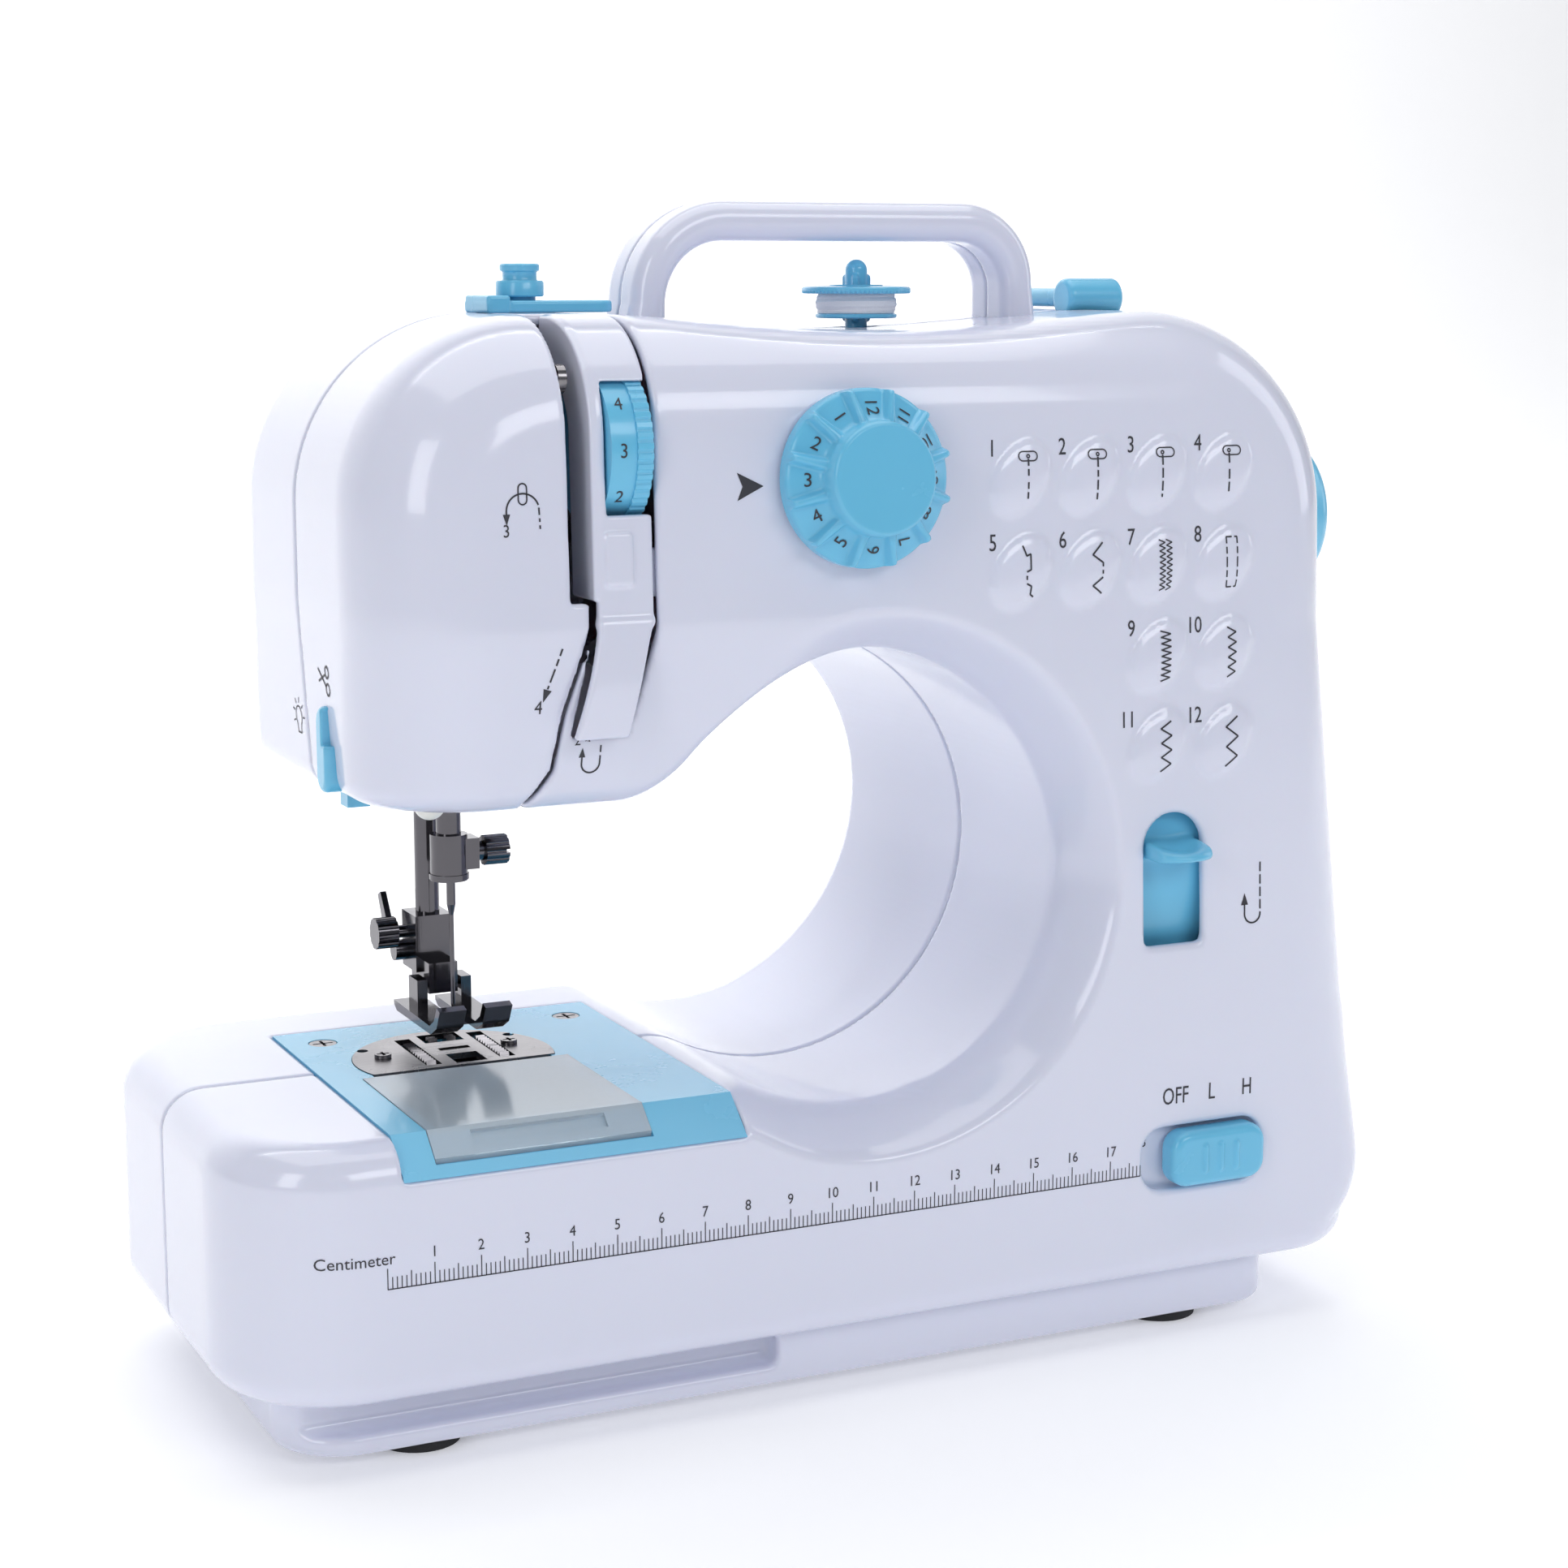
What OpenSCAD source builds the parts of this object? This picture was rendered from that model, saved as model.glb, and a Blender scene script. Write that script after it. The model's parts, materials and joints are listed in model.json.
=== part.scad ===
// Portable free-arm style sewing machine, built as separate pieces.
// +X points to the handwheel, -Y to the operator, +Z up; z = 0 is the table.

/* [Casing] */
// Width of the casing along the bed
casing_w = 274.3; // [274.3:0.1:276]
// Depth of the bed from front to back
casing_d = 121.9; // [121.9:0.1:123]
// Height of the bed's top above the table
bed_z = 70.6; // [70.6:0.1:70.8]
// Height of the arm's top above the table
arm_z = 235; // [235:0.1:235.4]
// Thickness of the moulded walls
wall = 2.5; // [2.4:0.1:2.6]
// Radius of the round throat under the arm
throat_r = 50.5; // [50:0.1:50.8]

/* [Handle] */
// Height of the handle's top above the table
handle_z = 259.1; // [258:0.1:262]
// Depth of the handle bar
handle_d = 20; // [16:1:22]

/* [Controls] */
// Radius of the handwheel
handwheel_r = 22; // [20:0.5:23]
// Radius of the stitch dial
dial_r = 18.8; // [18:0.1:19.5]
// Radius of the thread tension dial
tension_r = 16.5; // [16:0.1:16.8]

/* [Needle and foot] */
// Radius of the needle bar
needle_bar_r = 2.8; // [2.6:0.1:2.8]
// Radius of the presser bar
presser_bar_r = 2.75; // [2.6:0.05:2.8]
// Gap between the raised foot and the needle plate
foot_lift = 6.2; // [6:0.1:6.4]

/* [Hidden] */
$fn = 48;

white = [0.90, 0.91, 0.96];
blue = [0.45, 0.76, 0.92];
steel = [0.70, 0.71, 0.73];
dark = [0.20, 0.20, 0.22];
brass = [0.80, 0.65, 0.35];

half_w = casing_w / 2;
half_d = casing_d / 2;
eps = 0.01;
far = 200;

// Casing levels and edge radii
shell_z = 15;
head_z = 134;
head_x = -104;
head_low_x = -101.5;
crease_z = 172.5;
side_top_x = 129.5;
side_top_z = 164;
lean = 0.045;
lean_deg = atan(lean);
top_edge_r = 24;
bed_edge_r = 9;
base_edge_r = 8;
throat_x = 6.8;
throat_z = 113;
dish_x = 20;
dish_r = 230;
dish_z = arm_z - 3 + dish_r;

// Main mechanism axes
shaft_y = 0;
shaft_z = 185;
low_y = -12.2;
low_z = 34;
hook_x = -66;
hook_y = -12.2;
needle_x = -68.4;
needle_y = 8;
presser_y = 24;
swing_z = 222;
motor_y = -14;
motor_z = 84;
plate_y = 28;
plate_t = 3;
crank_r = 14;
crank_angle = 55;
shaft_r = 3.5;
low_r = 3;
hook_shaft_r = 3;
bush_wall = 2.5;
slim_wall = 1.2;
run_gap = 0.05;

// Front controls
dial_x = 1.9;
dial_z = 201;
tension_x0 = -54.6;
tension_x1 = -45.6;
tension_y = -41.5;
tension_z = 208;
slot_x0 = -63.2;
slot_x1 = -57.2;
strip_x1 = -45;
slot_x2 = -44;
window_x = 80;
window_r = 7.7;
window_z0 = 94;
window_z1 = 116.3;
lever_y = 12;
lever_z = 110;
lever_r = 68;
switch_x = 90.9;
switch_z = 44.3;
recess_x0 = 72.2;
recess_x1 = 104.2;

lamp_switch_x = -95.2;
lamp_switch_y = -10;

// Top fittings
guide_x = -52.5;
winder_x = 29;
spool_x = 90.5;
spool_z = 237.6;

// Bed fittings
plate_x0 = -102.6;
plate_x1 = -26.5;
plate_back = 35.5;
cover_x0 = -94.8;
cover_x1 = -47.2;
np_x = -70.6;
np_y = 1;
np_r = 22.5;
np_front = -7;
np_z = bed_z + 0.2;
feed_rows = [needle_x - 8.6, needle_x + 8.6];

// The whole machine is centred over its own footprint
wheel_face = side_top_x + 20.5;
dome_r = 31.6;
dome_depth = 16.3;
dial_front = dome_r - dome_depth * cos(lean_deg) - face_y(dial_z);
shift_x = -(wheel_face - half_w) / 2;
shift_y = (dial_front - half_d) / 2;

module seat() translate([shift_x, shift_y, 0]) children();

// ---- helpers -------------------------------------------------------------

function arc(c, r, a0, a1, n = 8) =
    [for (i = [0:n]) c + r * [cos(a0 + (a1 - a0) * i / n), sin(a0 + (a1 - a0) * i / n)]];
function flip(pts) = [for (i = [len(pts) - 1:-1:0]) [-pts[i][0], pts[i][1]]];
function face_y(z) = -half_d + lean * max(z - bed_z, 0);

module box(x0, x1, y0, y1, z0, z1) translate([x0, y0, z0]) cube([x1 - x0, y1 - y0, z1 - z0]);
module rod_x(x0, x1, r, y, z) translate([x0, y, z]) rotate([0, 90, 0]) cylinder(h = x1 - x0, r = r);
module rod_y(y0, y1, r, x, z) translate([x, y0, z]) rotate([-90, 0, 0]) cylinder(h = y1 - y0, r = r);
module rod_z(z0, z1, r, x, y) translate([x, y, z0]) cylinder(h = z1 - z0, r = r);
module ext_y(y0, y1, pts) translate([0, y1, 0]) rotate([90, 0, 0]) linear_extrude(y1 - y0) polygon(pts);
module ext_x(x0, x1, pts) translate([x0, 0, 0]) rotate([90, 0, 90]) linear_extrude(x1 - x0) polygon(pts);
module ext_z(z0, z1, pts) translate([0, 0, z0]) linear_extrude(z1 - z0) polygon(pts);

// Places children on the sloping front face, with +Z pointing out of it
module on_face(x, z) translate([x, face_y(z), z]) rotate([90 - lean_deg, 0, 0]) children();

// A coil spring along +Z, swept as one closed tube
module coil(r, wire, h, turns, sides = 6, steps = 12) {
    n = turns * steps;
    rings = [for (i = [0:n], j = [0:sides - 1])
        let (a = 360 * i / steps, b = 360 * j / sides)
        [(r + wire * cos(b)) * cos(a), (r + wire * cos(b)) * sin(a),
            wire + (h - 2 * wire) * i / n + wire * sin(b)]];
    walls = [for (i = [0:n - 1], j = [0:sides - 1])
        let (k = (j + 1) % sides)
        [i * sides + j, i * sides + k, (i + 1) * sides + k, (i + 1) * sides + j]];
    first = [for (j = [sides - 1:-1:0]) j];
    last = [for (j = [0:sides - 1]) n * sides + j];
    polyhedron(rings, concat([first], walls, [last]), convexity = 6);
}

// ---- casing form ---------------------------------------------------------

function side_half(t) = concat(
    arc([-half_d + base_edge_r, shell_z + base_edge_r], base_edge_r - t, 270, 180, 5),
    [[-half_d + t, bed_z]],
    arc([face_y(arm_z - top_edge_r) + top_edge_r, arm_z - top_edge_r], top_edge_r - t, 180, 90));
function side_profile(t) = concat(side_half(t), flip(side_half(t)));
function bed_half(t) = concat(
    arc([-half_d + base_edge_r, shell_z + base_edge_r], base_edge_r - t, 270, 180, 5),
    arc([-half_d + bed_edge_r, bed_z - bed_edge_r], bed_edge_r - t, 180, 90, 5));
function bed_profile(t) = concat(bed_half(t), flip(bed_half(t)));
function bed_outline(t) = concat(
    [[100, shell_z + t]],
    arc([-half_w + 10, shell_z + 10], 10 - t, 270, 180, 5),
    arc([-half_w + 9, bed_z - 9], 9 - t, 180, 90, 5),
    [[100, bed_z - t]]);
function arm_outline(t) = concat(
    [[throat_x, shell_z + t], [throat_x, head_z], [head_low_x + t, head_z], [head_x + t, 175]],
    arc([head_x + 40, arm_z - 40], 40 - t, 180, 90),
    arc([side_top_x - 45, arm_z - 45], 45 - t, 90, 0),
    [[side_top_x - t, side_top_z], [half_w - t, bed_z]],
    arc([half_w - 25, shell_z + 25], 25 - t, 0, -90));
function plan(x0, r0, r1, t) = concat(
    arc([x0 + r0, -half_d + r0], r0 - t, 180, 270), arc([half_w - r1, -half_d + r1], r1 - t, 270, 360),
    arc([half_w - r1, half_d - r1], r1 - t, 0, 90), arc([x0 + r0, half_d - r0], r0 - t, 90, 180));

// The round throat with its front bevel and the open space left of it
module throat_space(t) {
    rod_y(-far, far, throat_r + t, throat_x, throat_z);
    box(-far, throat_x, -far, far, bed_z - t, head_z + t);
    translate([throat_x, -half_d - 1, throat_z]) rotate([-90, 0, 0])
        cylinder(h = 12, r1 = throat_r + 8 + t, r2 = throat_r + t - 1);
}

// The lower half of the head and arm slopes back towards the throat
module undercut(t) ext_x(-far, throat_x,
    [[-far, crease_z], [face_y(crease_z) + t, crease_z + t], [-47 + t, head_z], [-47 + t, 100],
        [-far, 100]]);

module casing_form(t) difference() {
    union() {
        intersection() {
            ext_y(-far, far, bed_outline(t));
            ext_z(0, far, plan(-half_w, 28, 20, t));
            ext_x(-far, far, bed_profile(t));
        }
        intersection() {
            ext_y(-far, far, arm_outline(t));
            ext_z(0, far * 2, plan(head_x, 30, 20, t));
            ext_x(-far, far, side_profile(t));
        }
    }
    throat_space(t);
    difference() {
        undercut(t);
        box(-far, far, -far, far, 0, bed_z);
    }
    rod_y(-far, far, dish_r + t, dish_x, dish_z);
}

// Outline of the cover on the head's left, in front view; g widens it
function cover_outline(g) = [[-far, 120], [-70.4 + g, 120], [-70.4 + g, head_z + 2], [-65.7 + g, 143],
    [-64.1 + g, 154.8], [-59.2 + g, crease_z], [-59.2 + g, 177.5 + g], [slot_x0 + g, 177.5 + g],
    [slot_x0 + g, 300], [-far, 300]];
slot_outline = [[slot_x0, 177.5], [-58.2, 177.5], [-58.2, crease_z], [-61.8, 149.5], [-49.2, 149.5],
    [slot_x2, crease_z], [slot_x2, 300], [slot_x0, 300]];
case_screws = [[-124, 44], [126, 44], [70, 57], [104, 216]];
cover_screw = [-86, 214];
boss_r = 4;
screw_r = 1.5;

function all_screws() = concat(case_screws, [cover_screw]);

// Blind boss for a screw that comes in from the back
module blind_boss(p) difference() {
    rod_y(-half_d + 1, 0, boss_r, p[0], p[1]);
    rod_y(-21, 1, screw_r + run_gap, p[0], p[1]);
}

module shared_openings() {
    box(-118, 108, -44, 44, shell_z - 1, shell_z + wall + 0.1);
    box(plate_x0, plate_x1, -far, plate_back, 62.9, bed_z + 1);
    box(-84, -53, -8, 36, head_z - 2, head_z + 6);
    rod_x(110, far, 6, shaft_y, shaft_z);
    rod_z(225, 240, 4.4, winder_x, 0);
    box(spool_x - 8.2, spool_x + 8.2, -6, 6, 231, 240);
}

module stitch_oval(w, d, h) linear_extrude(h)
    polygon([for (a = [0:18:342]) let (p = [w * cos(a), d * sin(a)])
        [p[0] * cos(50) - p[1] * sin(50), p[0] * sin(50) + p[1] * cos(50)]]);

module front_casing() color(white) seat() {
    difference() {
        union() {
            difference() {
                intersection() {
                    casing_form(0);
                    box(-far, far, -far, 0, 0, 300);
                }
                casing_form(wall);
            }
            box(recess_x0 - 3, recess_x1 + 3, -half_d + wall - 0.2, -half_d + 6,
                switch_z - 10, switch_z + 10);
            intersection() {
                casing_form(0);
                union() for (p = case_screws) blind_boss(p);
            }
        }
        shared_openings();
        difference() {
            ext_y(-far, eps, cover_outline(1));
            box(-far, far, -far, far, 0, head_z - 1);
        }
        ext_y(-far, -25, slot_outline);
        rod_y(-far, -40, window_r, window_x, window_z1);
        box(window_x - window_r, window_x + window_r, -far, -50, window_z0, window_z1);
        box(recess_x0, recess_x1, -far, -half_d + 3.4, switch_z - 7.3, switch_z + 7.3);
        box(recess_x0 + 9, recess_x1 - 7, -far, -half_d + 8, switch_z - 2, switch_z + 2);
        translate([dial_x, face_y(dial_z), dial_z]) rotate([90 - lean_deg, 0, 0])
            cylinder(h = 40, r = 5, center = true);
    }
    for (i = [0:3], j = [0:3]) if (j < 2 || i > 1)
        on_face(40.9 + 17.4 * i, 200 - 20.2 * j) translate([0, 0, -0.4]) stitch_oval(9.2, 6.2, 1.2);
}

module rear_casing() color(white) seat() difference() {
    union() {
        difference() {
            intersection() {
                casing_form(0);
                box(-far, far, 0, far, 0, 300);
            }
            casing_form(wall);
        }
        intersection() {
            casing_form(0);
            union() for (p = all_screws()) rod_y(0, far, boss_r, p[0], p[1]);
        }
    }
    shared_openings();
    for (p = all_screws()) {
        rod_y(-1, far, screw_r + 0.2, p[0], p[1]);
        rod_y(22, far, 3.3, p[0], p[1]);
    }
    rod_y(40, far, 5.2, 92, 38);
    rod_y(40, far, 4.4, 110, 38);
    box(-93, -55, 54, far, head_z - 4, 160);
}

module face_cover() color(white) seat() difference() {
    intersection() {
        casing_form(0);
        ext_y(-far, 0, cover_outline(0));
        box(-far, far, -far, far, head_z - 1, 300);
        union() {
            difference() {
                box(-far, far, -far, 1, 0, 300);
                casing_form(wall);
            }
            blind_boss(cover_screw);
        }
    }
    box(-84, -53, -8, 36, head_z - 2, head_z + 6);
    box(lamp_switch_x - 3, lamp_switch_x + 3, lamp_switch_y - 6, lamp_switch_y + 6, head_z - 2,
        head_z + 6);
    rod_z(head_z - 2, head_z + 6, 5.3, -84, -26);
    cutter_form(0.02);
}

module thread_channel_cover() color(white) seat() {
    difference() {
        intersection() {
            ext_y(-far, -25.1, [[slot_x1, crease_z], [strip_x1, crease_z], [strip_x1, 300],
                [slot_x1, 300]]);
            difference() {
                casing_form(0);
                casing_form(wall + 0.1);
            }
        }
        box(tension_x0 - 0.3, strip_x1 + 1, -far, -20, 195, 220.4);
        rod_x(tension_x0 - 0.3, strip_x1 + 1, tension_r + 0.4, tension_y, tension_z);
    }
    intersection() {
        ext_x(-62, -44, [[-56.2, crease_z + 0.4], [-57.2, 166], [-57.8, 149.8], [-56, 149.8],
            [-55, 166], [-53.6, crease_z + 0.4]]);
        ext_y(-far, -20, [[slot_x1, crease_z + 1], [-58.8, 164], [-61, 149.8], [-50, 149.8], [-46.6, 164],
            [strip_x1, crease_z + 1]]);
    }
    intersection() {
        ext_y(-far, -20, [[slot_x1 + 1, 178], [-36, 178], [-36, 188], [slot_x1 + 1, 188]]);
        difference() {
            casing_form(wall);
            casing_form(wall + 2);
        }
    }
}

function tray(t) = concat(
    arc([-125 + 16, -52 + 16], 16 - t, 180, 270), arc([116.5 - 12, -52 + 12], 12 - t, 270, 360),
    arc([116.5 - 12, 52 - 12], 12 - t, 0, 90), arc([-125 + 16, 52 - 16], 16 - t, 90, 180));
module base_tray() color(white) seat() difference() {
    ext_z(2.5, shell_z, tray(0));
    ext_z(5, shell_z + 1, tray(9));
    box(-140, -15, -60, -45.5, 7, 14.4);
    for (x = [-94, 90], y = [-40, 40]) rod_z(2, 6, 4.05, x, y);
}

module rubber_feet() color(dark) seat()
    for (x = [-94, 90], y = [-40, 40]) {
        rod_z(0, 2.5, 9, x, y);
        rod_z(2.4, 4.9, 4, x, y);
    }

module casing_screws() color(steel) seat() for (p = all_screws()) difference() {
    union() {
        rod_y(-20, 23, screw_r, p[0], p[1]);
        rod_y(22.05, 24.4, 3, p[0], p[1]);
    }
    box(p[0] - 2.4, p[0] + 2.4, 23.2, 25, p[1] - 0.4, p[1] + 0.4);
    box(p[0] - 0.4, p[0] + 0.4, 23.2, 25, p[1] - 2.4, p[1] + 2.4);
}

// ---- handle --------------------------------------------------------------

hx0 = -29.2;
hx1 = 70.9;
module handle_shape() difference() {
    ext_y(-handle_d / 2, handle_d / 2, concat([[hx0 - 2, arm_z - 4]],
        arc([hx0 + 22, handle_z - 22], 22, 180, 90),
        arc([hx1 - 18, handle_z - 18], 18, 90, 0), [[hx1 + 1, arm_z - 4]]));
    ext_y(-far, far, concat([[hx0 + 8, arm_z - 9]], arc([hx0 + 22, handle_z - 22.7], 14, 180, 90),
        arc([hx1 - 19, handle_z - 19.7], 11, 90, 0), [[hx1 - 8, arm_z - 9]]));
    difference() {
        ext_y(-far, far, [[hx0 - 5, arm_z - 10], [hx1 + 5, arm_z - 10], [hx1 + 5, arm_z],
            [hx0 - 5, arm_z]]);
        rod_y(-far, far, dish_r, dish_x, dish_z);
    }
}
module handle_front() color(white) seat() intersection() {
    handle_shape();
    box(-far, far, -far, 0, 0, 300);
}
module handle_rear() color(white) seat() intersection() {
    handle_shape();
    box(-far, far, 0, far, 0, 300);
}

// ---- bed fittings --------------------------------------------------------

plate_pts = [[-93.8, 24.6], [-34.6, 24.6]];
np_pts = [[-85.5, 5.9], [-55.7, 5.9]];

module needle_plate_form(g) intersection() {
    rod_z(0, 100, np_r + g, np_x, np_y);
    box(-far, far, np_front - g, far, 0, 100);
}

module bobbin_area_plate() color(blue) seat() difference() {
    union() {
        ext_x(plate_x0 + 0.1, plate_x1 - 0.1, [[plate_back - 0.1, bed_z], [-52, bed_z], [-half_d, 62.95],
            [-57.3, 62.95], [-51, bed_z - wall - 0.3], [plate_back - 0.1, bed_z - wall - 0.3]]);
        box(plate_x0 - 2.5, plate_x1 + 2.5, -50, plate_back + 2.5, bed_z - wall - 1.8, bed_z - wall);
    }
    intersection() {
        needle_plate_form(0.15);
        box(-far, far, -far, far, np_z - 1.4, 100);
    }
    intersection() {
        needle_plate_form(-2.6);
        box(-80.4, -57.2, -far, far, 50, 100);
    }
    box(-80.4, -57.2, -8, 26, 50, bed_z - wall);
    ext_x(cover_x0 - 0.15, cover_x1 + 0.15,
        [[-8.7, 80], [-8.7, 69.2], [-51.7, 69.2], [-57.8, 64.1], [-62, 70], [-62, 80]]);
    box(-92, -50.5, -49, -6, 50, 80);
    for (p = plate_pts) {
        rod_z(50, 80, 1.65, p[0], p[1]);
        rod_z(bed_z - 1.3, 80, 3.3, p[0], p[1]);
    }
    for (p = np_pts) rod_z(50, 80, 1.05, p[0], p[1]);
}

module plate_screw(p, z, r_head, r_shank, h_head, length) difference() {
    union() {
        rod_z(z - h_head, z, r_head, p[0], p[1]);
        rod_z(z - length, z, r_shank, p[0], p[1]);
    }
    box(p[0] - r_head * 0.75, p[0] + r_head * 0.75, p[1] - 0.35, p[1] + 0.35, z - 0.7, z + 1);
    box(p[0] - 0.35, p[0] + 0.35, p[1] - r_head * 0.75, p[1] + r_head * 0.75, z - 0.7, z + 1);
}

module plate_screws() color(steel) seat() {
    for (p = plate_pts) plate_screw(p, bed_z - 0.1, 3.1, 1.6, 1.15, 9);
    for (p = np_pts) plate_screw(p, np_z + 0.9, 1.9, 1, 0.85, 6);
}

module needle_plate() color(steel) seat() difference() {
    intersection() {
        needle_plate_form(0);
        box(-far, far, -far, far, np_z - 1.4, np_z);
    }
    for (x = feed_rows) box(x - 1.8, x + 1.8, -4.8, 18.8, 60, 80);
    box(needle_x - 4.6, needle_x + 4.6, 13.4, 20.6, 60, 80);
    box(needle_x - 3.6, needle_x + 3.6, -5.5, 2.5, 60, 80);
    box(needle_x - 3.6, needle_x + 3.6, needle_y - 2, needle_y + 0.2, 60, 80);
    for (p = np_pts) rod_z(60, 80, 1.05, p[0], p[1]);
    for (x = [-88, -53.2]) rod_z(60, 80, 1.3, x, 13.2);
}

module bobbin_cover() color([0.75, 0.88, 0.95, 0.5]) seat() difference() {
    ext_x(cover_x0, cover_x1, [[-9, 70.8], [-52.2, 70.8], [-57.6, 66.1], [-57.2, 64.8],
        [-51.6, 69.4], [-9, 69.4]]);
    ext_x(cover_x0 + 9, cover_x1 - 9, [[-53.6, 71], [-52.8, 69.2], [-55.2, 67.2], [-57, 68.4]]);
}

// ---- hook and lower drive ------------------------------------------------

module bobbin_case() color(dark) seat() {
    difference() {
        rod_z(51.4, 64.2, 16.4, hook_x, hook_y);
        rod_z(52.6, 70, 11, hook_x, hook_y);
        translate([hook_x, hook_y, 57]) rotate([0, 0, 200]) box(9, 18, -1.2, 1.2, 0, 20);
        rod_z(50, 70, 1.2, hook_x - 13.6, hook_y - 3);
    }
    box(hook_x - 2.5, hook_x + 2.5, hook_y - 26, hook_y - 14, 64.2, 65.4);
    rod_z(52.5, 60, 2.6, hook_x, hook_y);
}

module bobbin_shape(r, h, hub, hole) rotate_extrude()
    polygon([[hole, 0], [r - 0.4, 0], [r, 0.4], [r, 0.9], [hub, 1.1], [hub, h - 1.1], [r, h - 0.9],
        [r, h - 0.4], [r - 0.4, h], [hole, h]]);

module bobbin() color([0.85, 0.9, 0.95, 0.6]) seat() translate([hook_x, hook_y, 52.8])
    bobbin_shape(10.4, 11.3, 4, 3);

module shuttle_hook() color(steel) seat() {
    difference() {
        union() {
            rod_z(49.2, 63.2, 18.2, hook_x, hook_y);
            rod_z(18.5, 49.3, hook_shaft_r, hook_x, hook_y);
        }
        rod_z(51, 80, 16.8, hook_x, hook_y);
        rotate_about(hook_x, hook_y, 60) box(10, 30, -5, 9, 55, 70);
        rotate_about(hook_x, hook_y, 200) box(10, 30, -3, 3, 58, 70);
    }
    rotate_about(hook_x, hook_y, 0) hook_pinion();
}

module rotate_about(x, y, a) translate([x, y, 0]) rotate([0, 0, a]) children();

// Bevel pair: the driving gear turns about X, the pinion about Z
bevel_d = 14;
bevel_p = 7;
tooth_w = 0.95;
tooth_l = 3.4;
cone_deg = atan(bevel_p / bevel_d);

// One tooth lying on a cone of half angle deg whose pitch end is at radius r
module cone_tooth(r, deg) translate([r, 0, 0]) rotate([0, -deg, 0])
    translate([-0.75, -tooth_w / 2, -tooth_l]) cube([1.3, tooth_w, tooth_l]);
module bevel(r, deg, n, phase, hub, back) {
    drop = tooth_l * cos(deg);
    shrink = tooth_l * sin(deg);
    root = 0.68 / cos(deg);
    difference() {
        union() {
            translate([0, 0, -drop]) cylinder(h = drop, r1 = r - root - shrink, r2 = r - root);
            cylinder(h = back, r = r - root - 0.1);
            for (i = [0:n - 1]) rotate([0, 0, phase + 360 * i / n]) cone_tooth(r, -deg);
        }
        cylinder(h = 50, r = hub, center = true);
    }
}
module hook_pinion() translate([0, 0, low_z + bevel_d]) bevel(bevel_p, cone_deg, 12, 0, 2.9, 1.1);
module hook_drive_gear() color([0.93, 0.93, 0.9]) seat() translate([hook_x + bevel_p, low_y, low_z])
    rotate([0, 90, 0]) bevel(bevel_d, 90 - cone_deg, 24, 7.5, low_r, 5);

module lower_shaft() color(steel) seat() rod_x(hook_x + bevel_p - 1.2, 113, low_r, low_y, low_z);

module pulley(w, r, hole, rim) difference() {
    union() {
        cylinder(h = w, r = r);
        cylinder(h = 1, r = r + rim);
        translate([0, 0, w - 1]) cylinder(h = 1, r = r + rim);
    }
    translate([0, 0, -1]) cylinder(h = w + 2, r = hole);
}
module along_x(x, y, z) translate([x, y, z]) rotate([0, 90, 0]) children();

// An endless belt round two wheels, drawn in the YZ plane
function loop_pts(c1, c2, r1, r2) =
    let (v = c2 - c1, l = norm(v), a = atan2(v[1], v[0]), b = acos((r1 - r2) / l))
    concat(arc(c1, r1, a + b, a + 360 - b, 20), arc(c2, r2, a - b, a + b, 20));
module belt(x0, x1, c1, c2, r1, r2, t) difference() {
    ext_x(x0, x1, loop_pts(c1, c2, r1 + t, r2 + t));
    ext_x(x0 - 1, x1 + 1, loop_pts(c1, c2, r1, r2));
}

timing_r = 11;
timing_x = 103;
big_r = 18;
small_r = 4.5;
module lower_timing_pulley() color(dark) seat() along_x(timing_x, low_y, low_z)
    pulley(8, timing_r, low_r, 2);
module drive_pulley() color(dark) seat() {
    along_x(timing_x, shaft_y, shaft_z) pulley(8, timing_r, shaft_r, 2);
    along_x(timing_x + 12, shaft_y, shaft_z) pulley(7, big_r, shaft_r, 2);
    along_x(timing_x + 7.9, shaft_y, shaft_z) pulley(4.2, 8, shaft_r, 0);
}
module timing_belt() color([0.12, 0.12, 0.12]) seat()
    belt(timing_x + 1.4, timing_x + 6.6, [shaft_y, shaft_z], [low_y, low_z],
        timing_r + 0.3, timing_r + 0.3, 1.4);
module motor_pulley() color(brass) seat() {
    along_x(timing_x + 12, motor_y, motor_z) pulley(7, small_r, 1.5, 2);
    rod_x(101, timing_x + 20, 1.5, motor_y, motor_z);
}
module drive_belt() color([0.12, 0.12, 0.12]) seat()
    belt(timing_x + 13.4, timing_x + 17.6, [shaft_y, shaft_z], [motor_y, motor_z],
        big_r + 0.3, small_r + 0.3, 1.4);
module motor() color(steel) seat() difference() {
    union() {
        rod_x(64, 100, 16, motor_y, motor_z);
        rod_x(99.9, 103.5, 6, motor_y, motor_z);
        rod_x(61.5, 64.1, 5, motor_y, motor_z);
    }
    rod_x(98, 110, 2, motor_y, motor_z);
}

// ---- main shaft ----------------------------------------------------------

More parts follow.
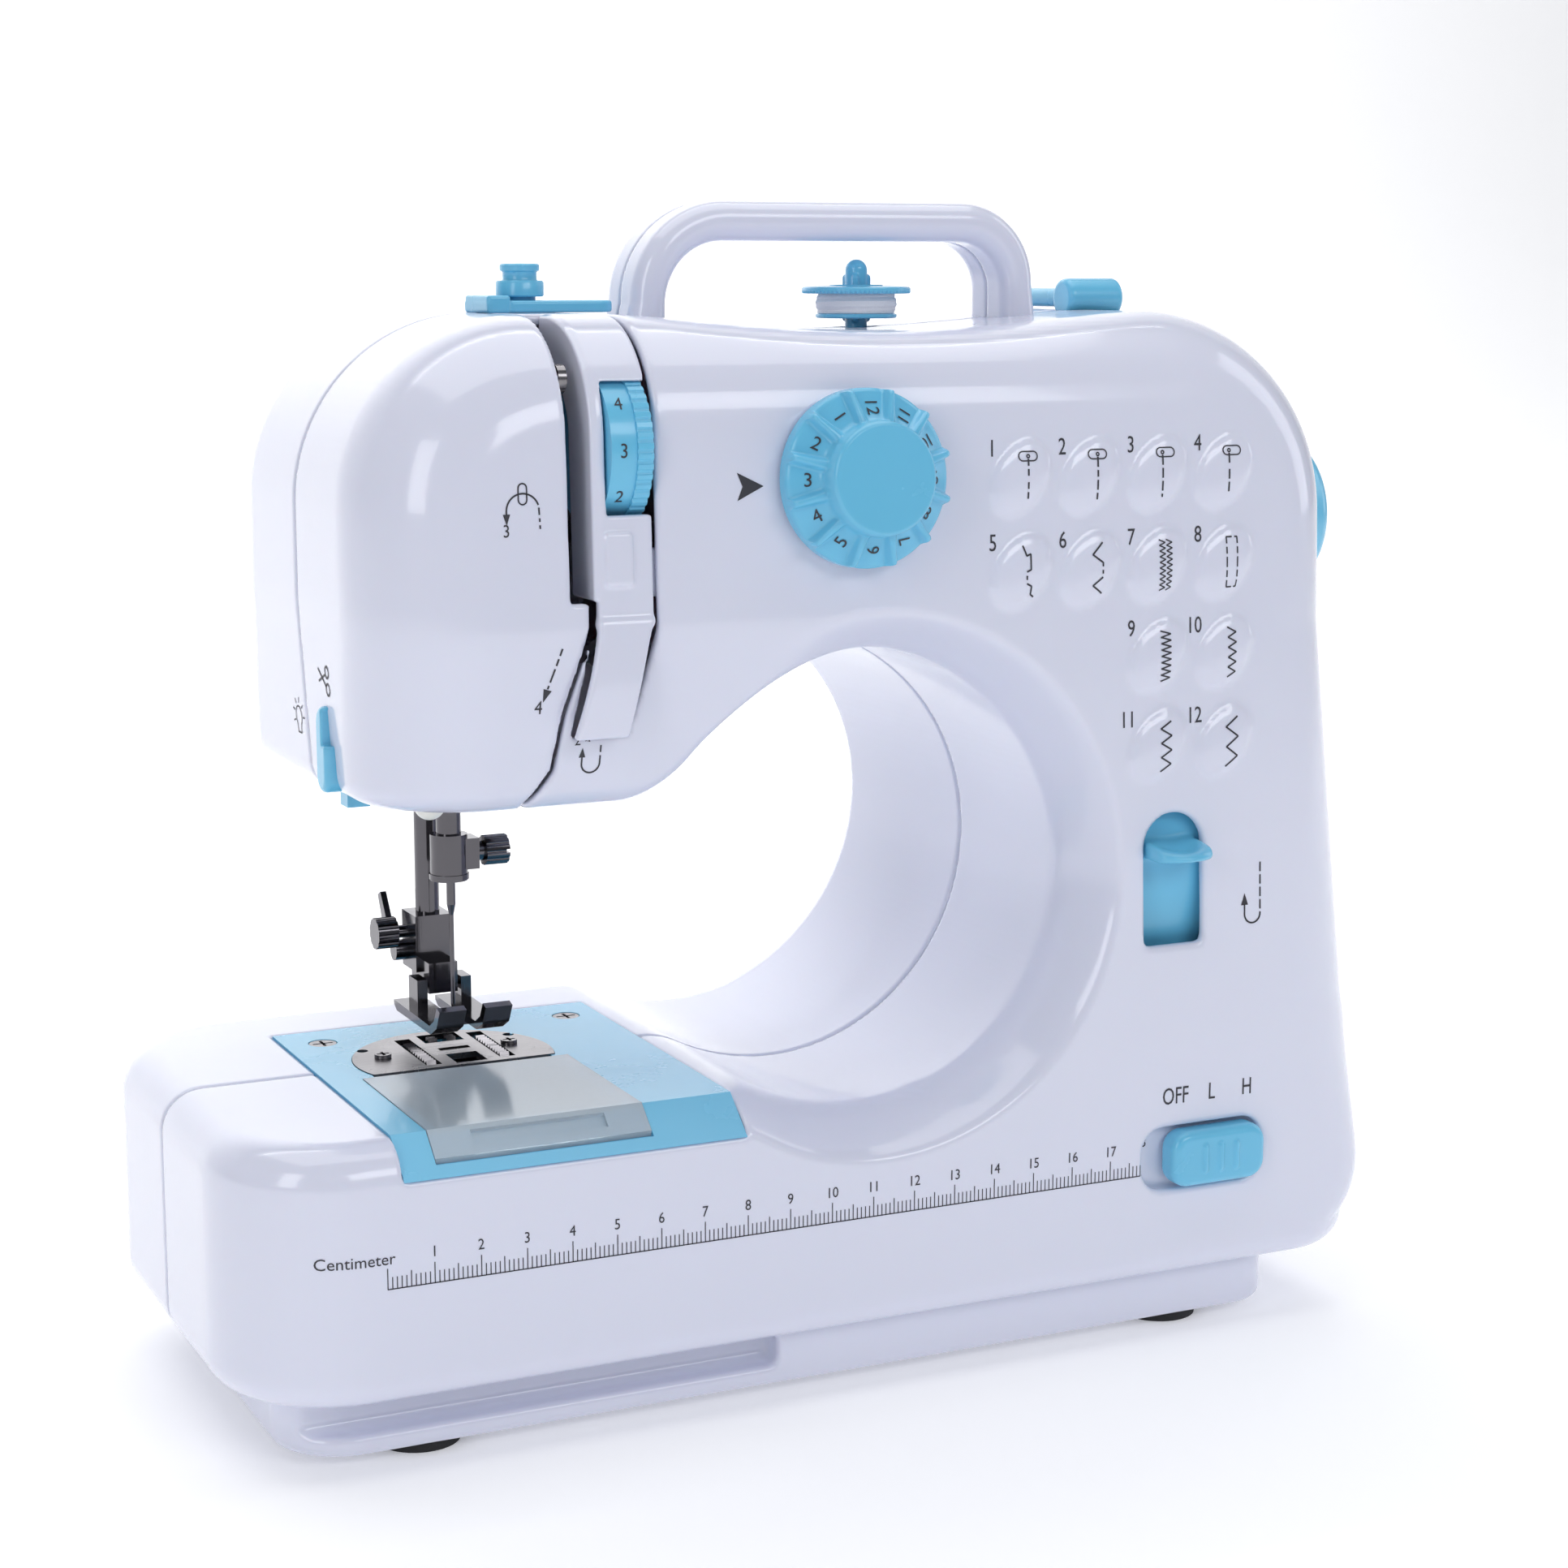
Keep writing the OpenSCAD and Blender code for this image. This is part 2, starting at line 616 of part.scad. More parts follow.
module main_shaft() color(steel) seat() rod_x(-44, wheel_face - 8, shaft_r, shaft_y, shaft_z);
module crank_disc() color(steel) seat() difference() {
    union() {
        rod_x(-48, -44, 18, shaft_y, shaft_z);
        rod_x(-44.1, -40.6, 8, shaft_y, shaft_z);
        rod_x(-52, -47.9, 2, shaft_y - crank_r * sin(crank_angle), shaft_z + crank_r * cos(crank_angle));
    }
    rod_x(-44, -30, shaft_r, shaft_y, shaft_z);
}
module handwheel() color(blue) seat() along_x(side_top_x + 1, shaft_y, shaft_z) {
    w = wheel_face - side_top_x - 1;
    difference() {
        rotate_extrude($fn = 96) polygon(concat([[shaft_r, 0], [handwheel_r - 1, 0]],
            arc([handwheel_r - 4, 6], 4, 0, 25, 3), arc([handwheel_r - 8, w - 5], 5, 20, 90, 6),
            [[9, w - 1.2], [7, w - 1.2], [7, w], [0, w], [0, w - 7], [shaft_r, w - 7]]));
        for (a = [0:15:345]) rotate([0, 0, a]) translate([handwheel_r + 1.6, 0, -1])
            cylinder(h = 9, r = 2.2);
    }
}

module bush_x(x0, x1, r, y, z) difference() {
    rod_x(x0, x1, r + bush_wall, y, z);
    rod_x(x0 - 1, x1 + 1, r + run_gap, y, z);
}
module bush_z(z0, z1, r, x, y, t = bush_wall) difference() {
    rod_z(z0, z1, r + t, x, y);
    rod_z(z0 - 1, z1 + 1, r + run_gap, x, y);
}
module bearing_bushes() color(brass) seat() {
    for (x = [-40, 94]) bush_x(x, x + 6, shaft_r, shaft_y, shaft_z);
    for (x = [-46, 94]) bush_x(x, x + 6, low_r, low_y, low_z);
    bush_z(20, 33, hook_shaft_r, hook_x, hook_y, slim_wall);
    for (z = [138.5, 186]) bush_z(z, z + 6, presser_bar_r, needle_x, presser_y, slim_wall);
}

// ---- frame ---------------------------------------------------------------

module shaft_bracket(x, y, z, r) difference() {
    union() {
        box(x, x + 6, y, plate_y + eps, z - 9, z + 9);
        rod_x(x, x + 6, 9, y, z);
    }
    rod_x(x - 1, x + 7, r + bush_wall, y, z);
}
module presser_bracket(z) difference() {
    box(needle_x - 8, needle_x + 8, presser_y - 6.2, plate_y + eps, z, z + 6);
    rod_z(z - 1, z + 7, presser_bar_r + slim_wall, needle_x, presser_y);
}
module inner_frame() color([0.62, 0.64, 0.66]) seat() {
    difference() {
        ext_y(plate_y, plate_y + plate_t, [[-112, 24], [118, 24], [118, 212], [40, 212], [40, 224],
            [18, 224],
            [18, 212], [-44, 212], [-44, 228], [-79, 228], [-79, 206], [-92, 206], [-92, 140],
            [-44, 140], [-44, 174], [64, 174], [64, 44], [-112, 44]]);
        for (p = [[-100, 34], [10, 34], [108, 60], [108, 150], [60, 200]]) rod_y(20, 40, 2, p[0], p[1]);
        rod_y(20, 40, 5, 70, 57);
        rod_y(20, 40, 5, 104, 216);
        rod_y(20, 40, 2.9, lift_x, lift_z);
        for (x = [74, 96], z = [140, 160]) rod_y(20, 40, 5, x, z);
    }
    for (x = [-40, 94]) shaft_bracket(x, shaft_y, shaft_z, shaft_r);
    for (x = [-46, 94]) shaft_bracket(x, low_y, low_z, low_r);
    difference() {
        box(hook_x - 10, hook_x + 4.5, hook_y - 8, plate_y + eps, 24, 33);
        rod_z(20, 40, hook_shaft_r + slim_wall, hook_x, hook_y);
    }
    for (z = [138.5, 186]) presser_bracket(z);
    rod_y(11.6, plate_y + eps, 2, needle_x, swing_z);
    rod_y(16, plate_y + eps, 4, needle_x, swing_z);
    rod_y(26, plate_y + eps, 4, -28, 182);
    rod_y(21.6, 27, 2, -28, 182);
    // Ear and pin of the take-up lever
    box(-60, -58.6, 6, plate_y + eps, 194, 202);
    rod_x(-62.6, -58.6, 2, 10, 198);
    // Ears and pin of the reverse lever
    for (x = [69.2, 87.8]) box(x, x + 3, lever_y - 4, plate_y + eps, lever_z - 5, lever_z + 5);
    rod_x(70, 90, 2, lever_y, lever_z);
    // Saddle of the motor
    difference() {
        box(74, 92, 0, plate_y + eps, motor_z - 9, motor_z + 9);
        rod_x(70, 96, 16, motor_y, motor_z);
    }
    // Bracket of the bobbin winder
    difference() {
        box(winder_x - 7, winder_x + 7, -7, plate_y + eps, 216, 221);
        rod_z(210, 230, 2.55, winder_x, 0);
    }
}

// ---- needle drive --------------------------------------------------------

module swing_eye(z, h) difference() {
    box(needle_x - 4.2, needle_x + 4.2, needle_y - 4.6, 15, z, z + h);
    rod_z(z - 1, z + h + 1, needle_bar_r + run_gap, needle_x, needle_y);
}
module needle_bar_frame() color([0.75, 0.75, 0.72]) seat() {
    swing_eye(142, 6);
    swing_eye(186, 5);
    difference() {
        union() {
            box(needle_x - 4.2, needle_x + 4.2, 12, 15, 142, swing_z);
            rod_y(12, 15, 5, needle_x, swing_z);
            box(needle_x, -30, 12, 15, 156, 160);
            rod_y(12, 15, 3.4, -30, 158);
        }
        rod_y(10, 20, 2.05, needle_x, swing_z);
        rod_y(10, 20, 1.6, -30, 158);
    }
}
module zigzag_lever() color(steel) seat() difference() {
    union() {
        ext_y(22, 25, [[-33, 156], [-27, 156], [-24.5, 182], [-9.5, 201], [-12, 205], [-31, 188]]);
        rod_y(22, 25, 3, -30, 158);
        rod_y(12, 22.1, 1.4, -11.9, 202.4);
    }
    rod_y(20, 30, 2.05, -28, 182);
}

module needle_bar() color(steel) seat() difference() {
    rod_z(112, 214, needle_bar_r, needle_x, needle_y);
    rod_z(110, 122, 1.05, needle_x, needle_y - 0.9);
}
module needle_link() color(steel) seat() {
    pin_y = shaft_y - crank_r * sin(crank_angle);
    pin_z = shaft_z + crank_r * cos(crank_angle);
    stud_z = 176;
    difference() {
        union() {
            ext_x(-56.4, -53.4, [[needle_y - 3.2, stud_z - 1], [needle_y + 3.2, stud_z + 1],
                [pin_y + 3.2, pin_z + 1], [pin_y - 3.2, pin_z - 1]]);
            rod_x(-56.4, -53.4, 3.6, needle_y, stud_z);
            rod_x(-56.4, -53.4, 3.8, pin_y, pin_z);
        }
        rod_x(-60, -50, 2.1, pin_y, pin_z);
    }
    rod_x(-65, -56.3, 2, needle_y, stud_z);
    difference() {
        rod_z(stud_z - 3, stud_z + 3, 3.8, needle_x, needle_y);
        rod_z(stud_z - 6, stud_z + 6, needle_bar_r, needle_x, needle_y);
    }
}
module needle_clamp() color(steel) seat() difference() {
    union() {
        rod_z(109.5, 120, 4.2, needle_x, needle_y);
        box(needle_x, needle_x + 6.2, needle_y - 3, needle_y + 3, 112, 119);
        rod_z(109.8, 111, 4.5, needle_x, needle_y);
    }
    rod_z(112, 130, needle_bar_r, needle_x, needle_y);
    rod_z(100, 113, 1.05, needle_x, needle_y - 0.9);
    rod_x(needle_x + 2.6, needle_x + 10, 1.3, needle_y, 115.5);
}
module needle_clamp_screw() color(steel) seat() difference() {
    union() {
        rod_x(needle_x + 2.9, needle_x + 9, 1.25, needle_y, 115.5);
        rod_x(needle_x + 6.5, needle_x + 8, 2.2, needle_y, 115.5);
        rod_x(needle_x + 8, needle_x + 13.4, 3.4, needle_y, 115.5);
    }
    for (a = [0:30:330]) translate([needle_x + 7, needle_y, 115.5]) rotate([a, 0, 0])
        translate([0, 3.7, 0]) rotate([0, 90, 0]) cylinder(h = 8, r = 0.55, $fn = 16);
    box(needle_x + 12.6, needle_x + 14, needle_y - 4, needle_y + 4, 115.1, 115.9);
}
module needle() color(steel) seat() difference() {
    union() {
        rod_z(104, 116, 1, needle_x, needle_y - 0.9);
        translate([needle_x, needle_y - 0.9, 101.6]) cylinder(h = 2.5, r1 = 0.5, r2 = 1);
        rod_z(81, 101.7, 0.5, needle_x, needle_y - 0.9);
        translate([needle_x, needle_y - 0.9, 78]) cylinder(h = 3.1, r1 = 0.06, r2 = 0.5);
    }
    rod_y(0, 20, 0.18, needle_x, 82.6);
}
module take_up_lever() color(steel) seat() difference() {
    union() {
        rod_x(-62.2, -60.4, 5, 10, 198);
        ext_x(-62.2, -60.4, [[11, 193.2], [8, 202.6], [-26, 216.4], [-44, 225], [-47, 220], [-28, 211.6]]);
        rod_x(-62.2, -60.4, 3, -45, 222.3);
    }
    rod_x(-70, -50, 2.05, 10, 198);
    rod_x(-70, -50, 1.1, -45, 222.3);
}

// ---- presser -------------------------------------------------------------

foot_z = np_z + foot_lift;
lift_x = -84;
lift_z = 152;
pin_z = foot_z + 7.4;
pin_y = 16.2;
module presser_bar() color(steel) seat() {
    rod_z(foot_z + 9, 204, presser_bar_r, needle_x, presser_y);
    difference() {
        rod_z(160, 167, 6, needle_x - 0.2, presser_y + 0.2);
        rod_z(159, 168, presser_bar_r - eps, needle_x, presser_y);
        box(-80, -60, plate_y - 0.6, 40, 150, 170);
        box(-80, -60, 10, presser_y - 5, 150, 170);
    }
    rod_x(-86, needle_x - 3, 2, presser_y, 163.5);
}
module presser_spring() color(steel) seat() translate([needle_x, presser_y, 167.4])
    coil(3.6, 0.55, 18.2, 6);
module presser_lifter() color([0.25, 0.25, 0.27]) seat() {
    rod_y(20.5, 60.5, 2.6, lift_x, lift_z);
    // Cam finger under the stud of the presser bar
    ext_y(21, 26, [[lift_x - 2, lift_z], [lift_x + 2.2, lift_z - 1], [lift_x + 5.4, lift_z + 8.4],
        [lift_x + 4, lift_z + 9.2], [lift_x + 2.6, lift_z + 8.6]]);
    // Finger lever at the back of the head
    ext_y(56, 60.6, concat(arc([lift_x, lift_z], 5, 60, 240), arc([lift_x + 25, lift_z - 21],
        3.4, 240, 420)));
}

module foot_holder() color(steel) seat() difference() {
    union() {
        box(needle_x - 4.4, needle_x + 4.4, presser_y - 4.4, presser_y + 5.4, foot_z + 9, foot_z + 22);
        box(needle_x - 3.4, needle_x + 3.4, pin_y - 2.6, presser_y + 2, foot_z + 5.2, foot_z + 12.2);
        ext_x(needle_x - 7.4, needle_x - 6, [[presser_y + 4, foot_z + 14], [presser_y + 8, foot_z + 13],
            [presser_y + 14, foot_z + 24], [presser_y + 12, foot_z + 25]]);
        rod_x(needle_x - 7.4, needle_x - 4.3, 2.4, presser_y + 3, foot_z + 13);
    }
    rod_z(foot_z + 12, foot_z + 30, presser_bar_r, needle_x, presser_y);
    rod_z(foot_z + 8, foot_z + 13, presser_bar_r, needle_x, presser_y);
    rod_x(needle_x - 10, needle_x + 10, 1.3, pin_y, pin_z);
    rod_x(needle_x - 12, needle_x - 3.6, 1.5, presser_y - 0.2, foot_z + 18);
}
module foot_holder_screw() color(steel) seat() difference() {
    union() {
        rod_x(needle_x - 9, needle_x - 3.7, 1.45, presser_y - 0.2, foot_z + 18);
        rod_x(needle_x - 12.8, needle_x - 8, 3.6, presser_y - 0.2, foot_z + 18);
    }
    for (a = [0:30:330]) translate([needle_x - 13, presser_y - 0.2, foot_z + 18]) rotate([a, 0, 0])
        translate([0, 3.9, 0]) rotate([0, 90, 0]) cylinder(h = 6, r = 0.55, $fn = 16);
}
module presser_foot() color(steel) seat() {
    difference() {
        union() {
            ext_x(needle_x - 8.5, needle_x + 8.5, [[24, foot_z + 1.2], [22, foot_z], [-2, foot_z],
                [-6.2, foot_z + 2.2],
                [-8.6, foot_z + 6.4], [-6.6, foot_z + 7], [-4.6, foot_z + 3.6], [-1.4, foot_z + 1.8],
                    [24, foot_z + 2.2]]);
            for (x = [needle_x - 6.4, needle_x + 4]) box(x, x + 2.4, 13, 19.2, foot_z + 1.5, foot_z + 8.7);
        }
        box(needle_x - 2.2, needle_x + 2.2, -far, 3.2, foot_z - 2, foot_z + 12);
        box(needle_x - 3.6, needle_x + 3.6, 5, 9.2, foot_z - 2, foot_z + 4);
        box(needle_x - 1.4, needle_x + 1.4, 12, far, foot_z - 2, foot_z + 4);
    }
    rod_x(needle_x - 6, needle_x + 6, 1.25, pin_y, pin_z);
}

// ---- feed ----------------------------------------------------------------

module feed_bar() color([0.62, 0.64, 0.66]) seat() difference() {
    box(-84, -53, 20.4, 25, 48, 65.6);
    for (x = [-78, -59]) rod_y(10, 40, 2.6, x, 56);
}
module feed_dog() color(steel) seat() {
    difference() {
        box(feed_rows[0] - 1.6, feed_rows[1] + 1.6, -3.2, 24, 65.8, 67.8);
        box(needle_x - 5.4, needle_x + 5.4, 3.4, 13.6, 60, 80);
        box(needle_x - 2.5, needle_x + 2.5, -10, 3.6, 60, 80);
    }
    for (x = feed_rows) feed_row(x, -2.6, 14.8);
    for (x = [-2.2, 2.2]) feed_row(needle_x + x, 15.4, 18.8);
}
module feed_row(x, y0, y1) for (y = [y0:1.6:y1 - 1.2]) ext_x(x - 1.1, x + 1.1,
    [[y, 67.7], [y, 70.2], [y + 0.4, 71.2], [y + 1.5, 70.2], [y + 1.6, 67.7]]);

// ---- dials and buttons ---------------------------------------------------

module tension_dial() color(blue) seat() along_x(tension_x0, tension_y, tension_z) difference() {
    union() {
        cylinder(h = tension_x1 - tension_x0, r = tension_r - 0.6);
        translate([0, 0, 5.6]) difference() {
            cylinder(h = 3.4, r = tension_r);
            for (a = [0:7.5:352.5]) rotate([0, 0, a]) translate([tension_r + 0.35, 0, -1])
                cylinder(h = 6, r = 0.7, $fn = 16);
        }
    }
    translate([0, 0, -1]) cylinder(h = 20, r = 2.05);
    translate([0, 0, 2]) cylinder(h = 20, r = 7);
}
module tension_discs() color(steel) seat() {
    rod_x(-56.6, -38, 2, tension_y, tension_z);
    for (x = [-45.2, -44.2]) rod_x(x, x + 0.6, 10.5, tension_y, tension_z);
    rod_x(-41, -38, 5, tension_y, tension_z);
    along_x(-52.3, tension_y, tension_z) coil(4.2, 0.5, 6.9, 3);
    // Hanger plate up to the arm's front wall
    difference() {
        box(-40.4, -38.4, face_y(214) + wall + 1.5, tension_y, tension_z - 4, tension_z + 4);
        casing_clearance();
    }
}
module casing_clearance() box(-60, -30, -far, face_y(212) + wall, 150, 300);

module stitch_dial() color(blue) seat() on_face(dial_x, dial_z) {
    difference() {
        union() {
            translate([0, 0, 0.7]) cylinder(h = 3.4, r = dial_r);
            translate([0, 0, 4]) cylinder(h = 6, r1 = dial_r - 0.6, r2 = dial_r - 3.4);
            for (a = [0:30:330]) rotate([0, 0, a]) translate([dial_r - 6, -0.6, 4]) cube([5, 1.2, 6.6]);
        }
        translate([0, 0, 9]) difference() {
            cylinder(h = 8, r = 12.7);
            cylinder(h = 8, r = 12.2);
        }
    }
    difference() {
        translate([0, 0, -dome_depth]) sphere(r = dome_r, $fn = 96);
        translate([0, 0, -60]) cylinder(h = 69.9, r = 40);
        difference() {
            cylinder(h = 40, r = 60);
            translate([0, 0, -1]) cylinder(h = 42, r = 12.2);
        }
    }
    difference() {
        translate([0, 0, -68]) cylinder(h = 68.8, r = 3);
        translate([0, 0, -70]) cylinder(h = 1, r = 4);
    }
}
module pattern_cam() color([0.93, 0.93, 0.9]) seat() on_face(dial_x, dial_z) difference() {
    union() {
        translate([0, 0, -78.5]) cylinder(h = 18, r = 5.5);
        // Four plain eccentric discs stand for the pattern cams
        for (i = [0:3]) rotate([0, 0, 80 * i]) translate([2.2, 0, -77.5 + i * 4.2]) cylinder(h = 3, r = 9);
    }
    translate([0, 0, -90]) cylinder(h = 90, r = 3);
}
module reverse_lever() color(blue) seat() {
    difference() {
        rod_x(window_x - 7.2, window_x + 7.2, lever_r, lever_y, lever_z);
        rod_x(window_x - 8, window_x + 8, lever_r - 1.8, lever_y, lever_z);
        ext_x(0, far, [[lever_y, lever_z], [lever_y - 90 * cos(16), lever_z - 90 * sin(16)],
            [-90, -far], [far, -far],
            [far, 320], [-90, 320], [lever_y - 90 * cos(27), lever_z + 90 * sin(27)]]);
    }
    // Thumb tongue
    intersection() {
        ext_x(window_x - 7, window_x + 7, [[lever_y - lever_r + 1, 114], [-66.5, 113.2],
            [-67.3, 114.2], [-66.5, 115.6],
            [lever_y - lever_r + 1, 117.4]]);
        rod_z(100, 130, 10, window_x, -57.8);
    }
    difference() {
        union() {
            rod_x(window_x - 7.2, window_x + 7.2, 4.6, lever_y, lever_z);
            box(window_x - 6, window_x + 6, lever_y - lever_r + 1, lever_y - 3, lever_z - 1.6,
                lever_z + 1.6);
        }
        rod_x(window_x - 10, window_x + 10, 2.05, lever_y, lever_z);
    }
}
module power_switch() color(blue) seat() {
    y0 = -half_d + 3.1;
    ext_y(-half_d - 4, y0, concat(
        arc([switch_x + 8.5, switch_z + 2.5], 4, 0, 90, 5), arc([switch_x - 8.5, switch_z + 2.5],
            4, 90, 180, 5),
        arc([switch_x - 8.5, switch_z - 2.5], 4, 180, 270, 5), arc([switch_x + 8.5, switch_z - 2.5],
            4, 270, 360, 5)));
    for (i = [-1:1]) rod_z(switch_z - 3.4, switch_z + 3.4, 0.8, switch_x + 4.2 * i, -half_d - 4);
    box(switch_x - 3, switch_x + 3, y0 - eps, -half_d + 9, switch_z - 1.4, switch_z + 1.4);
    box(switch_x - 7, switch_x + 7, -half_d + 8.6, -half_d + 11, switch_z - 4, switch_z + 4);
}

// ---- lamp, cutter, winder, spool ----------------------------------------

module lamp() color([0.97, 0.97, 0.9]) seat() {
    rod_z(head_z - 0.6, head_z + 8, 5, -84, -26);
    rod_z(head_z + 2.7, head_z + 4.4, 6.6, -84, -26);
    translate([-84, -26, head_z - 0.6]) difference() {
        sphere(r = 3.4);
        translate([0, 0, 0.1]) cylinder(h = 5, r = 5);
    }
}
module lamp_switch() color(blue) seat() {
    translate([lamp_switch_x, lamp_switch_y, head_z]) {
        box(-2.5, 2.5, -2.5, 2.5, -2.6, 3);
        box(-3.5, 3.5, -3.5, 3.5, 2.8, 5);
    }
}
// Pill-shaped cutter housing low on the head's left side, in front of the casing seam
module on_side() translate([head_low_x + 2.4, -15.5, 144.8]) rotate([0, -90, 0]) children();
module cutter_form(g) on_side() translate([0, 0, -g]) linear_extrude(5.2 + g)
    polygon(concat(arc([-5.6, 0], 3.6 + g, 90, 270), arc([5.6, 0], 3.6 + g, 270, 450)));
module thread_cutter() color(blue) seat() difference() {
    cutter_form(0);
    on_side() translate([1, -4.8, 2.4]) cube([8, 4, 4]);
}
module winder_guide() color(blue) seat() {
    ext_z(arm_z, arm_z + 2.6, concat([[-62.5, -7.5]], arc([-36, -1], 4.2, 270, 450), [[-62.5, 7.5]]));
    box(-62.5, -57.5, -7.5, 7.5, arm_z + 2.5, arm_z + 3.6);
    translate([guide_x, 0, arm_z + 2.5]) rotate_extrude()
        polygon([[0, 0], [3.4, 0], [3.4, 1], [5.2, 1], [5.2, 4.4], [3.9, 4.4], [3.9, 6.4],
            [4.3, 6.4], [4.3, 8], [0, 8]]);
}
module winder_spindle() color(blue) seat() {
    rod_z(205, 244, 2.5, winder_x, 0);
    translate([winder_x, 0, 244]) sphere(r = 2.5);
    for (a = [0:120:240]) rotate_about(winder_x, 0, a) box(0, 3.6, -0.7, 0.7, 232.4, 242.4);
    rod_z(222, 225, 8, winder_x, 0);
    rod_z(206, 210, 9, winder_x, 0);
}
module winder_bobbin() color([0.6, 0.8, 0.92]) seat() translate([winder_x, 0, 233.3]) difference() {
    bobbin_shape(11, 6.6, 8.6, 3.9);
    translate([0, 0, 20]) cylinder(h = 1, r = 1);
}
module spool_pin() color(blue) seat() {
    difference() {
        rod_x(spool_x - 7.3, spool_x + 7.3, 4.6, 0, spool_z);
        translate([spool_x - 7.3, 0, spool_z + 4.6]) rotate([0, -24, 0]) box(-20, 6, -10, 10, 0, 8);
    }
    rod_y(4, 42, 2.2, spool_x, spool_z);
    rod_y(3, 5.5, 4.4, spool_x, spool_z);
    translate([spool_x, 42, spool_z]) sphere(r = 2.2);
}

// ---- electrics -----------------------------------------------------------

module circuit_board() color([0.1, 0.4, 0.2]) seat() {
    box(82, 118, 40, 41.6, 26, 62);
    box(86, 96, 36.4, 40.1, 48, 58);
    rod_y(33, 40.1, 3.2, 108, 54);
}
module power_jacks() color(dark) seat() {
    difference() {
        union() {
            box(86.5, 97.5, 41.6, 55, 32.5, 43.5);
            rod_y(54.9, half_d - 0.2, 5, 92, 38);
        }
        rod_y(47, half_d + 1, 2.8, 92, 38);
    }
    rod_y(46.9, half_d - 2, 1.05, 92, 38);
    difference() {
        union() {
            box(105.5, 114.5, 41.6, 55, 33, 43);
            rod_y(54.9, half_d - 0.2, 4.2, 110, 38);
        }
        rod_y(45, half_d + 1, 1.8, 110, 38);
    }
}

front_casing();
rear_casing();
face_cover();
thread_channel_cover();
base_tray();
rubber_feet();
casing_screws();
handle_front();
handle_rear();
bobbin_area_plate();
plate_screws();
needle_plate();
bobbin_cover();
bobbin_case();
bobbin();
shuttle_hook();
lower_shaft();
hook_drive_gear();
lower_timing_pulley();
timing_belt();
main_shaft();
bearing_bushes();
crank_disc();
handwheel();
drive_pulley();
drive_belt();
motor();
motor_pulley();
inner_frame();
needle_bar_frame();
zigzag_lever();
needle_bar();
needle_link();
needle_clamp();
needle_clamp_screw();
needle();
take_up_lever();
presser_bar();
presser_spring();
presser_lifter();
foot_holder();
foot_holder_screw();
presser_foot();
feed_bar();
feed_dog();
tension_dial();
tension_discs();
stitch_dial();
pattern_cam();
reverse_lever();
power_switch();
lamp();
lamp_switch();
thread_cutter();
winder_guide();
winder_spindle();
winder_bobbin();
spool_pin();
circuit_board();
power_jacks();
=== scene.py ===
import json
import math

import bmesh
import bpy
import numpy as np
import openvdb
from mathutils import Matrix, Vector

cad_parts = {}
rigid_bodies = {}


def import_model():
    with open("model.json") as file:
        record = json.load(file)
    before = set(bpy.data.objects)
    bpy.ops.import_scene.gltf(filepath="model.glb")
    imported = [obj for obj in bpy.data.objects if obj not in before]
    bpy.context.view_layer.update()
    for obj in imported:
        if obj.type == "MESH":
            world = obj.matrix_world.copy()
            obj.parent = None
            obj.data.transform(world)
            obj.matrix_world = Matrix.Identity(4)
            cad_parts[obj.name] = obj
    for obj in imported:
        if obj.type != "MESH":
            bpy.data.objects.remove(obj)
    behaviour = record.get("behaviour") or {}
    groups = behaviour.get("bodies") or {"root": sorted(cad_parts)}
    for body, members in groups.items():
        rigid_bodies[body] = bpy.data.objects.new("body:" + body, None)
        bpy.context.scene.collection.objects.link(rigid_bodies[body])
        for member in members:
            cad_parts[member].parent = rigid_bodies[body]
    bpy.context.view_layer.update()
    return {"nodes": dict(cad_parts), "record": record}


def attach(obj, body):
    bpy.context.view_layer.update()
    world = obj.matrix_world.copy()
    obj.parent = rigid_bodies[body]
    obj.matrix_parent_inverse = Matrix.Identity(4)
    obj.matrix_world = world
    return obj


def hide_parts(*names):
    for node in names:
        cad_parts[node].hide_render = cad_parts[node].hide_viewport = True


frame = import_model()
NODES = frame["nodes"]
RECORD = frame["record"]
JOINTS = {j["name"]: j for j in RECORD["behaviour"]["joints"]}
MM = 0.001

# The machine's own origin, on the axis of the main shaft, in the row frame
ORIGIN = np.array(JOINTS["handwheel_turn"]["pos_m"], float) * 1000
ORIGIN[2] = 0

# ---------------------------------------------------------------- sizes, mm
HALF_W, HALF_D = 137.15, 60.95
BED_Z, ARM_Z, HEAD_Z, SHELL_Z = 70.6, 235.0, 134.0, 15.0
LEAN = 0.045
THROAT_X, THROAT_Z, THROAT_R = 6.8, 113.0, 50.5
CREASE_Z = 172.5
RING_R = 60.0
WALL = 2.5
STITCH = [(40.9 + 17.4 * i, 200 - 20.2 * j) for j in range(4) for i in range(4) if j < 2 or i > 1]


# ---------------------------------------------------------------- materials
def ramp_range(nt, value, lo, hi):
    r = nt.nodes.new("ShaderNodeMapRange")
    r.inputs["From Min"].default_value = 0.3
    r.inputs["From Max"].default_value = 0.7
    r.inputs["To Min"].default_value = lo
    r.inputs["To Max"].default_value = hi
    nt.links.new(value, r.inputs["Value"])
    return r.outputs["Result"]


def noise(nt, coord, scale, detail=4.0, rough=0.5, stretch=None):
    if stretch:
        m = nt.nodes.new("ShaderNodeMapping")
        m.inputs["Scale"].default_value = stretch
        nt.links.new(coord, m.inputs["Vector"])
        coord = m.outputs["Vector"]
    n = nt.nodes.new("ShaderNodeTexNoise")
    n.inputs["Scale"].default_value = scale
    n.inputs["Detail"].default_value = detail
    n.inputs["Roughness"].default_value = rough
    nt.links.new(coord, n.inputs["Vector"])
    return n.outputs["Fac"]


